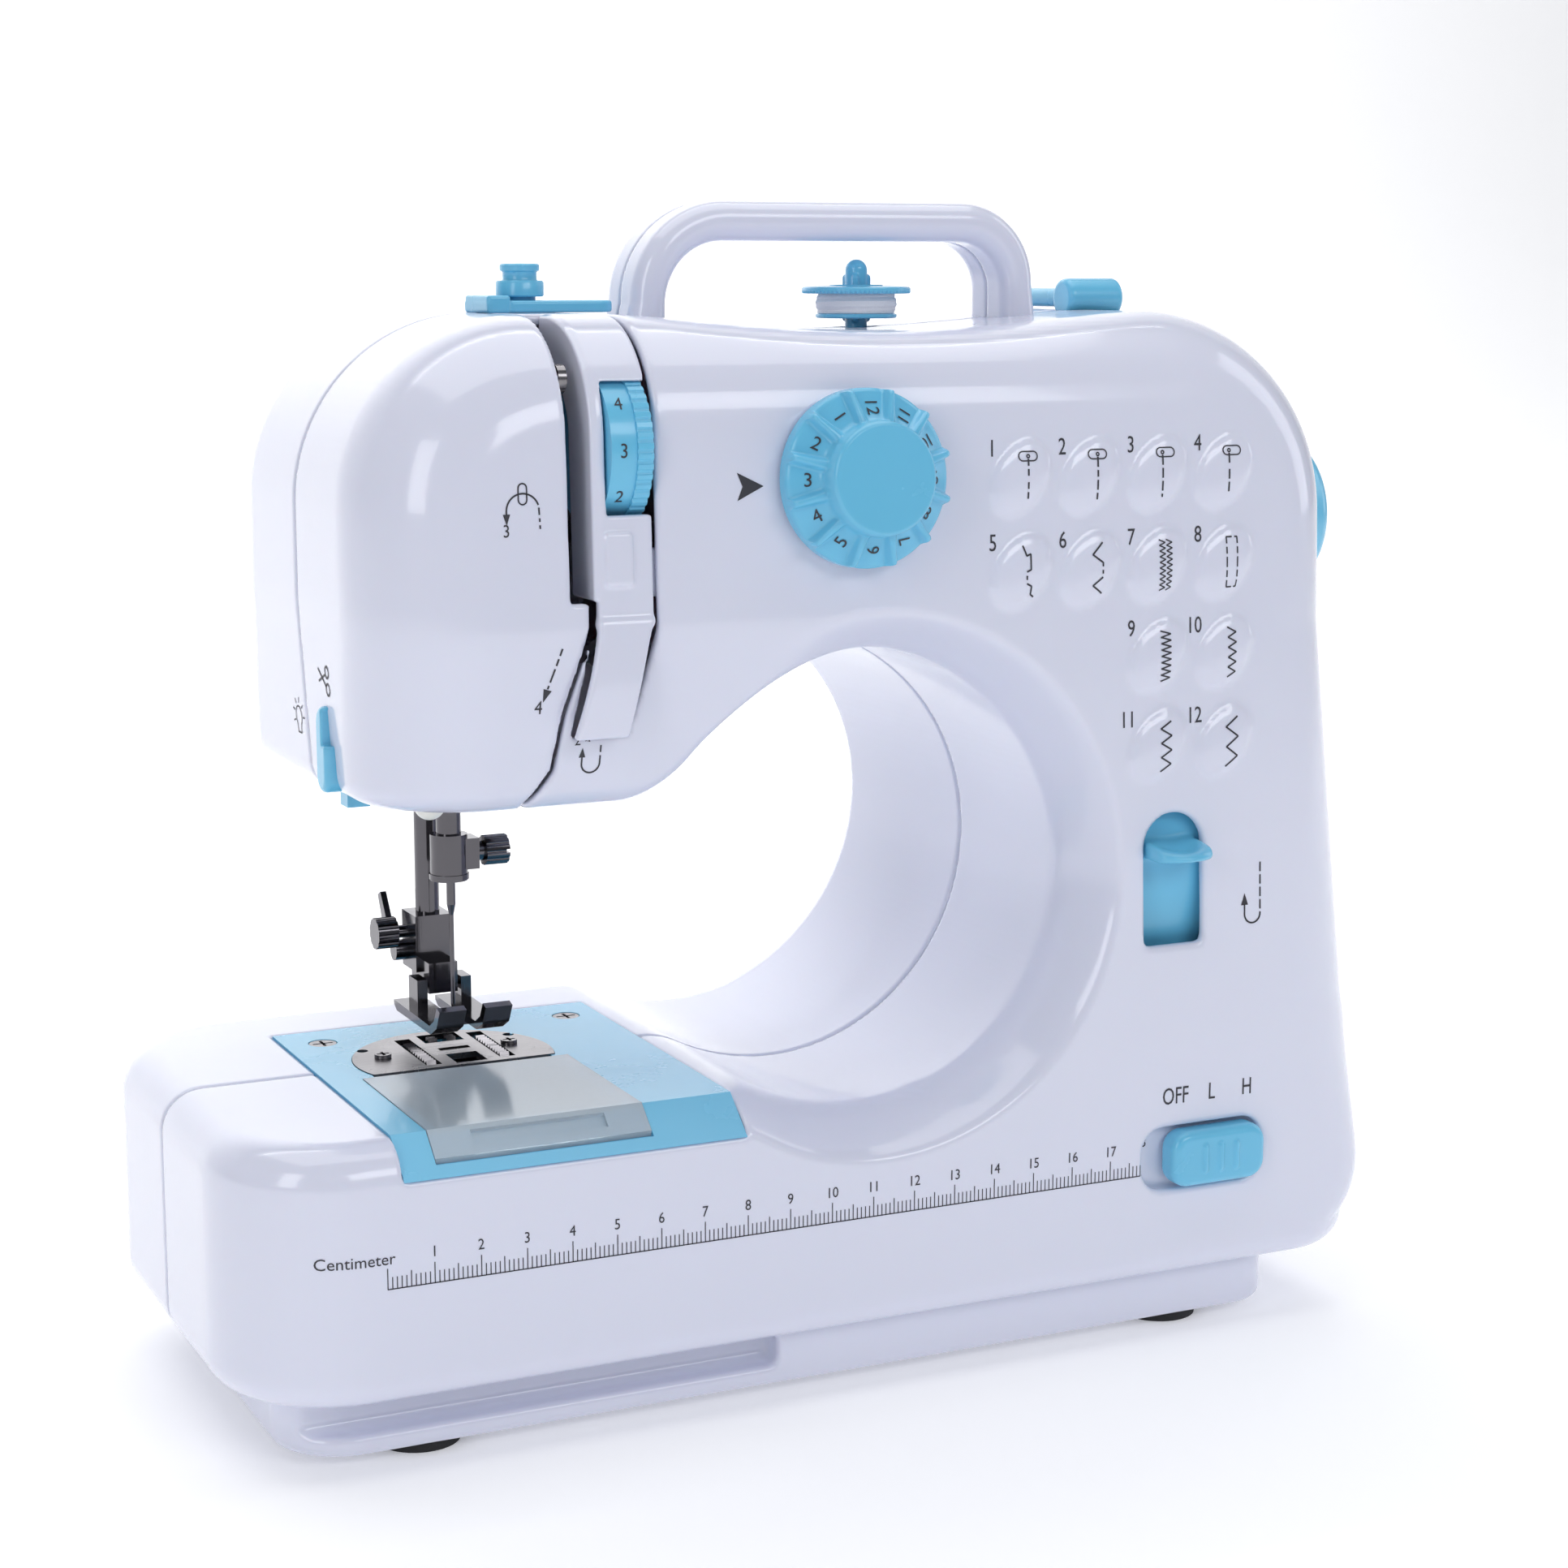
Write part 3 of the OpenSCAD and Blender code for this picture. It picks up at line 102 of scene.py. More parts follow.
def material(name, color, rough, metal=0.0, vary=0.03, rough_vary=0.05, bump=0.05, bump_scale=900,
             stretch=None, coat=0.0, scratch=0.0, **inputs):
    """A procedural finish: colour drift, roughness patches, a moulded or ground grain and fine scuffs."""
    m = bpy.data.materials.new(name)
    m.use_nodes = True
    nt = m.node_tree
    b = nt.nodes["Principled BSDF"]
    coord = nt.nodes.new("ShaderNodeTexCoord").outputs["Object"]
    b.inputs["Metallic"].default_value = metal
    b.inputs["Coat Weight"].default_value = coat
    b.inputs["Coat Roughness"].default_value = 0.05
    for k, v in inputs.items():
        b.inputs[k.replace("_", " ")].default_value = v
    drift = noise(nt, coord, 14, 3)
    mix = nt.nodes.new("ShaderNodeMix")
    mix.data_type = "RGBA"
    mix.inputs[6].default_value = (*[max(c * (1 - vary), 0) for c in color], 1)
    mix.inputs[7].default_value = (*[min(c * (1 + vary), 1) for c in color], 1)
    nt.links.new(drift, mix.inputs[0])
    nt.links.new(mix.outputs[2], b.inputs["Base Color"])
    patches = noise(nt, coord, 38, 5, 0.6)
    level = ramp_range(nt, patches, max(rough - rough_vary, 0.02), rough + rough_vary)
    if scratch:
        fine = noise(nt, coord, 260, 2, 0.5, (1, 1, 0.06))
        lines = nt.nodes.new("ShaderNodeMapRange")
        lines.inputs["From Min"].default_value = 0.64
        lines.inputs["From Max"].default_value = 0.72
        lines.inputs["To Max"].default_value = scratch
        nt.links.new(fine, lines.inputs["Value"])
        add = nt.nodes.new("ShaderNodeMath")
        add.operation = "ADD"
        nt.links.new(level, add.inputs[0])
        nt.links.new(lines.outputs["Result"], add.inputs[1])
        level = add.outputs[0]
    nt.links.new(level, b.inputs["Roughness"])
    grain = noise(nt, coord, bump_scale, 3, 0.55, stretch)
    bp = nt.nodes.new("ShaderNodeBump")
    bp.inputs["Strength"].default_value = bump
    bp.inputs["Distance"].default_value = 0.0002
    nt.links.new(grain, bp.inputs["Height"])
    nt.links.new(bp.outputs["Normal"], b.inputs["Normal"])
    return m


MATS = {
    "casing": material("casing_white", (0.75, 0.77, 0.895), 0.15, vary=0.012, rough_vary=0.035, bump=0.04,
                       bump_scale=420, coat=0.35, scratch=0.03, Subsurface_Weight=0.06,
                       Subsurface_Scale=0.003),
    "accent": material("accent_blue", (0.155, 0.55, 0.80), 0.24, vary=0.04, rough_vary=0.06, bump=0.08,
                       bump_scale=700, coat=0.2, Subsurface_Weight=0.05,
                       Subsurface_Scale=0.002),
    # painted dark reflection: the steel's base colour is kept far below real steel's, so it looks dark, as
    # if it reflected dark surroundings
    "steel": material("ground_steel_painted_dark_reflection", (0.25, 0.24, 0.25), 0.26, metal=1.0, vary=0.08, rough_vary=0.08,
                      bump=0.22, bump_scale=900, stretch=(0.05, 1, 1), scratch=0.1),
    # painted dark reflection: the nickel's base colour is kept far below real nickel's, so the chrome looks
    # near black, as if it reflected dark surroundings; the area lights still give bright highlights
    "nickel": material("polished_nickel_painted_dark_reflection", (0.13, 0.125, 0.135), 0.12, metal=1.0, vary=0.06, rough_vary=0.05,
                       bump=0.07, bump_scale=1100, stretch=(1, 1, 0.08), scratch=0.08),
    "black_plastic": material("black_plastic", (0.02, 0.02, 0.024), 0.42, vary=0.1, bump=0.25,
                              bump_scale=1500),
    "rubber": material("black_rubber", (0.018, 0.018, 0.02), 0.75, vary=0.15, rough_vary=0.08, bump=0.4,
                       bump_scale=1200),
    "brass": material("sintered_bronze", (0.56, 0.38, 0.15), 0.34, metal=1.0, vary=0.08, bump=0.2,
                      bump_scale=1300, scratch=0.08),
    "frame_metal": material("cast_aluminium", (0.42, 0.44, 0.46), 0.5, metal=1.0, vary=0.06, rough_vary=0.1,
                            bump=0.45, bump_scale=800),
    "nylon": material("natural_nylon", (0.78, 0.78, 0.72), 0.4, vary=0.03, bump=0.12, bump_scale=900),
    "clear": material("clear_acrylic", (0.80, 0.91, 0.98), 0.16, vary=0.02, rough_vary=0.05, bump=0.08,
                      bump_scale=700, Transmission_Weight=0.62, IOR=1.45),
    "lamp_lens": material("lamp_lens", (0.92, 0.91, 0.84), 0.35, vary=0.03, bump=0.15, bump_scale=900),
    "board": material("circuit_board_green", (0.02, 0.16, 0.06), 0.36, vary=0.12, bump=0.15, bump_scale=900),
    "thread": material("white_thread", (0.82, 0.82, 0.86), 0.75, vary=0.06, rough_vary=0.08, bump=0.8,
                       bump_scale=2600, Sheen_Weight=0.4),
}
INK = material("printed_ink", (0.035, 0.035, 0.045), 0.5, vary=0.25, bump=0.1, bump_scale=1500)


# ------------------------------------------------------------ field helpers
class Field:
    """A box of sample points in machine millimetres."""

    def __init__(self, lo, hi, step):
        self.lo, self.step = np.array(lo, float), step
        n = [int(math.ceil((b - a) / step)) + 1 for a, b in zip(lo, hi)]
        ax = [np.float32(a) + np.arange(k, dtype=np.float32) * np.float32(step) for a, k in zip(lo, n)]
        self.x, self.y, self.z = ax[0][:, None, None], ax[1][None, :, None], ax[2][None, None, :]
        self.shape = tuple(n)


def smooth(a, b, v):
    t = np.clip((v - a) / (b - a), 0, 1)
    return t * t * (3 - 2 * t)


def rmax(a, b, r):
    """Intersection with a rounded edge of radius r; the lesser of the two radii where r is an array."""
    u, v = np.maximum(a + r, 0), np.maximum(b + r, 0)
    return np.minimum(np.maximum(a, b), -r) + np.sqrt(u * u + v * v)


def rmin(a, b, r):
    return -rmax(-a, -b, r)


def cut(a, b, r=0.5):
    return rmax(a, -b, r)


def poly(pts, u, v):
    """Signed distance to a closed outline in a plane."""
    d, s = None, None
    for (ax, ay), (bx, by) in zip(pts, pts[-1:] + pts[:-1]):
        ex, ey = bx - ax, by - ay
        wx, wy = u - ax, v - ay
        t = np.clip((wx * ex + wy * ey) / (ex * ex + ey * ey + 1e-12), 0, 1)
        q = (wx - ex * t) ** 2 + (wy - ey * t) ** 2
        c1, c2, c3 = v >= ay, v < by, ex * wy > ey * wx
        flip = (c1 & c2 & c3) | (~c1 & ~c2 & ~c3)
        d = q if d is None else np.minimum(d, q)
        s = flip if s is None else s ^ flip
    return np.where(s, -1, 1).astype(np.float32) * np.sqrt(d).astype(np.float32)


def arc(c, r, a0, a1, n=28):
    return [(c[0] + r * math.cos(math.radians(a0 + (a1 - a0) * i / n)),
             c[1] + r * math.sin(math.radians(a0 + (a1 - a0) * i / n))) for i in range(n + 1)]


def slab(v, lo, hi):
    return np.maximum(lo - v, v - hi)


def block(g, x0, x1, y0, y1, z0, z1, r=0.3):
    return rmax(rmax(slab(g.x, x0, x1), slab(g.y, y0, y1), r), slab(g.z, z0, z1), r)


def disc(u, v, cu, cv, r):
    return np.sqrt((u - cu) ** 2 + (v - cv) ** 2) - r


def rod(d, along, a, b, r=0.3):
    return rmax(d, slab(along, a, b), r)


def rounded_rect(u, v, cu, cv, hu, hv, r):
    qx, qy = np.abs(u - cu) - hu + r, np.abs(v - cv) - hv + r
    return np.sqrt(np.maximum(qx, 0) ** 2 + np.maximum(qy, 0) ** 2) + np.minimum(np.maximum(qx, qy), 0) - r


def sample(f, p):
    """Trilinear value of field array f at index-space points p."""
    p = np.clip(p, 0, np.array(f.shape) - 1.001)
    i = p.astype(np.int64)
    t = (p - i).astype(np.float32)
    out = 0
    for dx in (0, 1):
        for dy in (0, 1):
            for dz in (0, 1):
                w = t[:, 0] if dx else 1 - t[:, 0]
                w = w * (t[:, 1] if dy else 1 - t[:, 1])
                w = w * (t[:, 2] if dz else 1 - t[:, 2])
                out = out + w * f[i[:, 0] + dx, i[:, 1] + dy, i[:, 2] + dz]
    return out


def gradient(f, p, e=1.0):
    g = np.stack([sample(f, p + e * np.eye(3)[k]) - sample(f, p - e * np.eye(3)[k]) for k in range(3)], 1)
    return g / np.maximum(np.linalg.norm(g, axis=1, keepdims=True), 1e-9)


def new_object(name, verts, faces, mat, normals=None):
    me = bpy.data.meshes.new(name)
    me.from_pydata(np.asarray(verts).tolist(), [], faces)
    me.materials.append(mat)
    me.polygons.foreach_set("use_smooth", [True] * len(me.polygons))
    if normals is not None:
        me.normals_split_custom_set_from_vertices(normals)
    me.update()
    o = bpy.data.objects.new(name, me)
    bpy.context.scene.collection.objects.link(o)
    return o


def carve(name, g, f, mat, body, nodes, adapt=0.0):
    """Turns a field into a smooth mesh whose normals come from the field itself."""
    h = g.step
    f = np.clip(np.broadcast_to(f, g.shape).astype(np.float32), -4 * h, 4 * h)
    f = np.ascontiguousarray(f)
    for ax in range(3):
        edge = [slice(None)] * 3
        for k in (0, -1):
            edge[ax] = k
            f[tuple(edge)] = np.maximum(f[tuple(edge)], h)
    grid = openvdb.FloatGrid(4 * h)
    grid.copyFromArray(f)
    pts, tris, quads = grid.convertToPolygons(0.0, adapt)
    p = np.asarray(pts, np.float32)
    for _ in range(2):
        n = gradient(f, p)
        p = p - n * (np.clip(sample(f, p) / h, -0.5, 0.5))[:, None]
    n = gradient(f, p)
    faces = [tuple(q) for q in np.asarray(quads).tolist()] + [tuple(t) for t in np.asarray(tris).tolist()]
    q = np.asarray(quads)[: 2000]
    face_n = np.cross(p[q[:, 1]] - p[q[:, 0]], p[q[:, 2]] - p[q[:, 0]])
    if (face_n * n[q[:, 0]]).sum() < 0:
        faces = [t[::-1] for t in faces]
    v = (p * h + g.lo + ORIGIN) * MM
    o = new_object(name, v, faces, mat, n)
    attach(o, body)
    if nodes:
        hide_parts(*nodes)
    return o


# ------------------------------------------------------------- casing field
def front_depth(x, z):
    """How far the front lies behind its plain plane, at the head's crease and round the throat."""
    d = np.sqrt((x - THROAT_X) ** 2 + (z - THROAT_Z) ** 2)

    def ease(t, k):
        t = np.maximum(t, 0)
        return t * t / (t + k)

    left = 0.30 * ease(CREASE_Z - z, 5.0)
    ring = 1.9 * ease(RING_R - d, 3.2)
    side = smooth(-30, 24, x)
    upper = left * (1 - side) + ring * side
    lower = ring * smooth(-42, -8, x)
    return np.where(z > THROAT_Z, upper, lower)


def face_y(z):
    t = np.maximum(z - BED_Z, 0)
    return HALF_D - LEAN * t


def domes(x, z):
    out = np.zeros(np.broadcast(x, z).shape, np.float32)
    a = math.radians(50)
    for cx, cz in STITCH:
        u = (x - cx) * math.cos(a) + (z - cz) * math.sin(a)
        v = -(x - cx) * math.sin(a) + (z - cz) * math.cos(a)
        q = (u / 9.2) ** 2 + (v / 6.3) ** 2
        out = np.maximum(out, 1.5 * np.sqrt(np.clip(1 - q, 0, 1)))
    return out


def casing(g):
    x, y, z = g.x, g.y, g.z
    depth = front_depth(x, z).astype(np.float32)
    bump = domes(x, z)
    gx = np.gradient(depth, g.step, axis=0)
    gz = np.gradient(depth, g.step, axis=2)
    tilt = 1 / np.sqrt(1 + np.minimum(gx * gx + gz * gz, 6))
    front = (-y - (face_y(z) - depth + bump)) * tilt
    back = y - face_y(z)
    arm_pts = ([(THROAT_X, SHELL_Z), (THROAT_X, 100), (-99.3, 100), (-101.5, HEAD_Z), (-104, 175)]
               + arc((-64, ARM_Z - 40), 40, 180, 90) + arc((84.5, ARM_Z - 45), 45, 90, 0)
               + [(129.5, 164), (HALF_W, BED_Z)] + arc((HALF_W - 25, SHELL_Z + 25), 25, 0, -90))
    outline = poly(arm_pts, x, z)
    rad = 8 + 15 * smooth(18, 80, z)
    rad_front = rad + (3 * smooth(-40, -90, x)) * smooth(110, 150, z)
    rad_back = rad - 4 * smooth(-40, -90, x) * smooth(172, 140, z)
    arm = rmax(rmax(outline, front, rad_front), back, rad_back)
    throat = disc(x, z, THROAT_X, THROAT_Z, THROAT_R)
    below = np.maximum(x - THROAT_X, z - HEAD_Z)
    opening = -rmax(-throat, -below, 9.0)
    arm = rmax(arm, -opening, 1.8 + 3.8 * smooth(-22, -48, x))
    plan = rounded_plan(x, y)
    bed = rmax(np.maximum(plan, front), z - BED_Z, 9.0)
    bed = rmax(bed, SHELL_Z - z, 8.0)
    bed = rmax(bed, -throat, 2.2)
    body = np.minimum(arm, bed)
    dish = 230 - np.sqrt((x - 20) ** 2 + (z - (ARM_Z - 3 + 230)) ** 2)
    return rmax(body, dish, 7.0)


def rounded_plan(x, y):
    r = np.where(x < 0, 28.0, 20.0)
    qx, qy = np.abs(x) - HALF_W + r, np.abs(y) - HALF_D + r
    return np.sqrt(np.maximum(qx, 0) ** 2 + np.maximum(qy, 0) ** 2) + np.minimum(np.maximum(qx, qy), 0) - r


COVER_EDGE = [(-200, 120), (-70.4, 120), (-70.4, 136), (-65.7, 143), (-64.1, 154.8), (-59.2, CREASE_Z),
              (-59.2, 177.5), (-63.2, 177.5), (-63.2, 300), (-200, 300)]
SLOT_EDGE = [(-63.2, 177.5), (-58.2, 177.5), (-58.2, CREASE_Z), (-61.8, 149.5), (-49.2, 149.5),
             (-44, CREASE_Z), (-44, 300), (-63.2, 300)]
CASE_SCREWS = [(-124, 44), (126, 44), (70, 57), (104, 216), (-86, 214)]


def make_casings():
    g = Field((-140, -64, 12), (140, 64, 238), 0.85)
    x, y, z = g.x, g.y, g.z
    body = casing(g)
    shell = rmax(body, -(body + WALL), 0.5)
    cover = poly(COVER_EDGE, x, z)
    slot = np.maximum(poly(SLOT_EDGE, x, z), y + 25)
    plate = block(g, -102.6, -26.5, -200, 35.5, 62.9, 90, 0.4)
    bottom = block(g, -118, 108, -44, 44, 10, 17.7, 0.3)
    needle_hole = block(g, -84, -53, -8, 36, 130, 141, 1.5)
    shaft = rod(disc(y, z, 0, 185, 6), x, 110, 200)
    winder = rod(disc(x, y, 29, 0, 4.4), z, 220, 245)
    spool = rmax(rmax(slab(x, 82.3, 98.7), slab(y, -6, 6), 1.5), slab(z, 228, 250), 0.3)
    holes = [plate, bottom, needle_hole, shaft, winder, spool]

    # Front half
    f = rmax(shell, y + 0.12, 0.35)
    backing = block(g, 69.2, 107.2, -HALF_D + 2.3, -HALF_D + 6, 34.3, 54.3, 1.0)
    f = np.minimum(f, backing)
    for h in holes:
        f = cut(f, h, 0.5)
    f = cut(f, np.maximum(cover - 1.0, 132.5 - z), 0.55)
    f = cut(f, slot, 0.7)
    arch = np.minimum(disc(x, z, 80, 116.3, 7.7), rounded_rect(x, z, 80, 105.6, 7.7, 11.6, 1.6))
    f = cut(f, np.maximum(arch, y + 40), 0.9)
    recess = rmax(rounded_rect(x, z, 88.2, 44.3, 16.0, 7.4, 5.6), y + HALF_D - 3.4, 0.8)
    f = cut(f, recess, 0.9)
    f = cut(f, np.maximum(rounded_rect(x, z, 89.2, 44.3, 8, 2, 0.5), y + HALF_D - 8), 0.3)
    f = cut(f, rod(disc(x, z, 1.9, 201, 5), y, -100, -30), 0.4)
    carve("casing_front_shell", g, f, MATS["casing"], "machine", ["front_casing"], 0.0)

    # Rear half
    f = rmax(shell, 0.12 - y, 0.35)
    for h in holes:
        f = cut(f, h, 0.5)
    for sx, sz in CASE_SCREWS:
        f = cut(f, rod(disc(x, z, sx, sz, 3.4), y, 40, 100), 0.6)
        cup = np.maximum(disc(x, z, sx, sz, 4.6), 20 - y)
        cup = np.maximum(rmax(cup, -np.maximum(disc(x, z, sx, sz, 3.4), 22 - y), 0.3), body)
        f = np.minimum(f, cup)
    f = cut(f, rod(disc(x, z, 92, 38, 5.2), y, 40, 100), 0.6)
    f = cut(f, rod(disc(x, z, 110, 38, 4.4), y, 40, 100), 0.6)
    f = cut(f, block(g, -93, -55, 50, 200, 130, 160, 1.0), 0.6)
    carve("casing_rear_shell", g, f, MATS["casing"], "machine", ["rear_casing"], 0.0)

    # Face cover on the head's left
    f = rmax(rmax(shell, cover, 0.55), y + 0.12, 0.35)
    f = rmax(f, HEAD_Z - 1.2 - z, 0.3)
    f = cut(f, needle_hole, 0.5)
    lamp_hole = rod(disc(x, y, -84, -26, 5.3), z, 125, 145)
    f = cut(f, lamp_hole, 0.4)
    f = cut(f, block(g, -98.2, -92.2, -16, -4, 125, 145, 0.6), 0.4)
    carve("face_cover_shell", g, f, MATS["casing"], "machine", ["face_cover"], 0.0)

    # Strip between the two thread slots, with the hooked tongue at its foot
    g2 = Field((-68, -64, 146), (-30, -18, 238), 0.45)
    x, y, z = g2.x, g2.y, g2.z
    body = casing(g2)
    f = rmax(rmax(body, -(body + WALL), 0.5), slab(x, -57.2, -45), 0.8)
    f = rmax(rmax(f, y + 25.1, 0.5), CREASE_Z - z, 0.3)
    outer = rmax(rmax(slab(x, -54.9, -40), slab(z, 195, 220.4), 0.4), slab(y, -200, -20), 0.3)
    f = cut(f, outer, 0.6)
    f = cut(f, np.maximum(disc(y, z, -41.5, 208, 17.0), slab(x, -54.9, -40)), 0.4)
    pad = rmax(rmax(body - 0.7, -(body + 1), 0.4), rounded_rect(x, z, -52.6, 186.2, 3.0, 5.4, 0.8), 0.5)
    f = rmin(f, rmax(pad, y + 26, 0.3), 0.5)
    t = np.clip((CREASE_Z + 1 - z) / 23, 0, 1)
    mid = -55.6 - 1.6 * t + 1.3 * np.sin(t * math.pi) * -1
    sheet = np.abs(y - mid) - (1.35 - 0.35 * t)
    left, right = -57.2 - 6.0 * t ** 1.2, -45 - 6.3 * t ** 0.8
    tongue = rmax(sheet, np.maximum(left - x, x - right), 0.8)
    tongue = rmax(tongue, slab(z, 149.8, CREASE_Z + 1.5), 0.9)
    f = rmin(f, tongue, 1.2)
    flange = rmax(rmax(body + 0.3, -(body + 13), 0.3), slab(x, -58.0, -56.8), 0.4)
    f = np.minimum(f, rmax(rmax(flange, y + 25.5, 0.3), 177.8 - z, 0.4))
    lug = rmax(rmax(body + WALL, -(body + WALL + 2), 0.3), rounded_rect(x, z, -46, 183, 9, 5, 1), 0.3)
    f = np.minimum(f, rmax(lug, y + 25.5, 0.3))
    carve("thread_strip", g2, f, MATS["casing"], "machine", ["thread_channel_cover"], 0.0)


def make_handle():
    g = Field((-36, -13, 222), (78, 13, 261), 0.6)
    x, y, z = g.x, g.y, g.z
    x0, x1, top = -29.2, 70.9, 259.1
    outer = poly([(x0 - 2.5, 225)] + arc((x0 + 22, top - 22), 22, 180, 90)
                 + arc((x1 - 18, top - 18), 18, 90, 0) + [(x1 + 2, 225)], x, z)
    inner = poly([(x0 + 8, 222)] + arc((x0 + 22, top - 22.7), 14, 180, 90)
                 + arc((x1 - 19, top - 19.7), 11, 90, 0) + [(x1 - 8, 222)], x, z)
    bar = rmax(rmax(outer, -inner, 1.6), np.abs(y) - 10 + 0 * z, 4.2)
    foot = (ARM_Z - 0.2) - z
    sag = 230 - np.sqrt((x - 20) ** 2 + (z - (ARM_Z - 3 + 230)) ** 2)
    bar = np.maximum(bar, np.minimum(foot, sag - 0.15))
    halves = (("handle_front_half", 1, "handle_front"), ("handle_rear_half", -1, "handle_rear"))
    for name, side, node in halves:
        f = rmax(bar, side * y + 0.1, 0.35)
        carve(name, g, f, MATS["casing"], "machine", [node])


def make_tray():
    g = Field((-130, -56, 0), (121, 56, 18), 0.7)
    x, y, z = g.x, g.y, g.z
    r = np.where(x < 0, 16.0, 12.0)
    cx, hx = (116.5 - 125) / 2, (116.5 + 125) / 2
    qx, qy = np.abs(x - cx) - hx + r, np.abs(y) - 52 + r
    plan = np.sqrt(np.maximum(qx, 0) ** 2 + np.maximum(qy, 0) ** 2) + np.minimum(np.maximum(qx, qy), 0) - r
    f = rmax(rmax(plan, 2.5 - z, 2.2), z - 14.95, 0.4)
    f = cut(f, np.maximum(plan + 9, 5 - z), 0.6)
    q = rmax(rmax(slab(x, -160, -15), slab(y, -80, -45.6), 3.0), slab(z, 7, 14.3), 2.4)
    f = cut(f, q, 1.2)
    for fx in (-94, 90):
        for fy in (-40, 40):
            f = cut(f, rod(disc(x, y, fx, fy, 4.05), z, 0, 6), 0.2)
    carve("base_tray_shell", g, f, MATS["casing"], "machine", ["base_tray"])


make_casings()
make_handle()
make_tray()


# -------------------------------------------------------- small moulded parts
def make_switch():
    g = Field((76, -68, 35), (106, -56, 54), 0.28)
    x, y, z = g.x, g.y, g.z
    cx, cz = 90.9, 44.3
    f = rmax(rounded_rect(x, z, cx, cz, 12.5, 6.5, 4.4), slab(y, -HALF_D - 3.6, -HALF_D + 3.1), 2.0)
    for i in (-1, 0, 1):
        ridge = np.sqrt((x - cx - 4.2 * i) ** 2 + (y + HALF_D + 3.5) ** 2
                        + np.maximum(np.abs(z - cz) - 2.7, 0) ** 2) - 0.75
        f = rmin(f, ridge, 0.4)
    carve("power_slider", g, f, MATS["accent"], "power_switch", ["power_switch"])


def make_reverse():
    g = Field((67, -71, 84), (93, 22, 142), 0.45)
    x, y, z = g.x, g.y, g.z
    ly, lz, lr = 12, 110, 68
    rr = np.sqrt((y - ly) ** 2 + (z - lz) ** 2)
    f = rmax(slab(rr, lr - 1.9, lr), np.abs(x - 80) - 10.5 + 0 * z, 0.5)
    f = rmax(rmax(f, slab(z, 90.5, 138), 0.5), y + 45, 0.3)
    t = np.clip((-56 - y) / 11, 0, 1)
    top = 117.6 - 2.2 * t * t
    bottom = 114.0 - 0.9 * t + 1.0 * t * t
    tongue = rmax(np.maximum(z - top, bottom - z), disc(x, y, 80, -57.6, 9.6), 1.1)
    tongue = rmax(tongue, np.abs(x - 80) - 7.0 + 0 * z, 0.8)
    dish = np.sqrt((x - 80) ** 2 + (y + 62) ** 2 + (z - 127.5) ** 2) - 11.6
    tongue = rmax(tongue, -dish, 0.8)
    tongue = rmax(tongue, y + 55.4, 0.2)
    f = rmin(f, tongue, 1.4)
    web = block(g, 74, 86, ly - lr + 1, ly - 3, lz - 1.6, lz + 1.6, 0.5)
    hub = rmax(disc(y, z, ly, lz, 4.6), slab(x, 72.8, 87.2), 0.4)
    f = cut(rmin(rmin(f, web, 1.0), hub, 1.0), disc(y, z, ly, lz, 2.05) + 0 * x, 0.3)
    carve("reverse_lever_body", g, f, MATS["accent"], "reverse_lever", ["reverse_lever"])


def make_cutter():
    x0, cy, cz = -104.3, -15.5, 144.8
    g = Field((x0 - 1.5, cy - 6, cz - 12), (x0 + 7, cy + 6, cz + 12), 0.22)
    x, y, z = g.x, g.y, g.z
    cap = np.sqrt((y - cy) ** 2 + np.maximum(np.abs(z - cz) - 5.6, 0) ** 2) - 3.6
    f = rmax(cap, slab(x, x0, x0 + 5.2), 1.3)
    notch = rmax(rmax(slab(z, cz + 1, cz + 8.6), slab(y, cy - 6, cy - 0.8), 0.5), x - x0 - 2.8, 0.4)
    f = cut(f, notch, 0.5)
    carve("thread_cutter_body", g, f, MATS["accent"], "machine", ["thread_cutter"])


def lathe(name, centre, profile, mat, body, nodes, n=96, wobble=None, basis=None):
    """A turned piece; wobble(angle, r, h) may push a point along the axis."""
    basis = basis or Matrix.Identity(3)
    verts, faces = [], []
    k = len(profile)
    for i in range(n):
        a = 2 * math.pi * i / n
        for r, h in profile:
            if wobble:
                r, h = wobble(a, r, h)
            p = basis @ Vector((r * math.cos(a), r * math.sin(a), h))
            verts.append((Vector(centre) + p + Vector(ORIGIN)) * MM)
    for i in range(n):
        j = (i + 1) % n
        for m in range(k - 1):
            faces.append((i * k + m, j * k + m, j * k + m + 1, i * k + m + 1))
    faces.append(tuple(j * k for j in reversed(range(n))))
    faces.append(tuple(j * k + k - 1 for j in range(n)))
    me = bpy.data.meshes.new(name)
    me.from_pydata([tuple(v) for v in verts], [], faces)
    me.materials.append(mat)
    me.polygons.foreach_set("use_smooth", [True] * len(me.polygons))
    me.set_sharp_from_angle(angle=math.radians(38))
    me.update()
    o = bpy.data.objects.new(name, me)
    bpy.context.scene.collection.objects.link(o)
    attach(o, body)
    if nodes:
        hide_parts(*nodes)
    return o


DIAL_AT = (1.9, -(HALF_D - LEAN * (201 - BED_Z)), 201.0)
TILT = math.atan(LEAN)
DIAL_BASIS = Matrix(((1, 0, 0), (0, math.sin(TILT), -math.cos(TILT)), (0, math.cos(TILT), math.sin(TILT))))


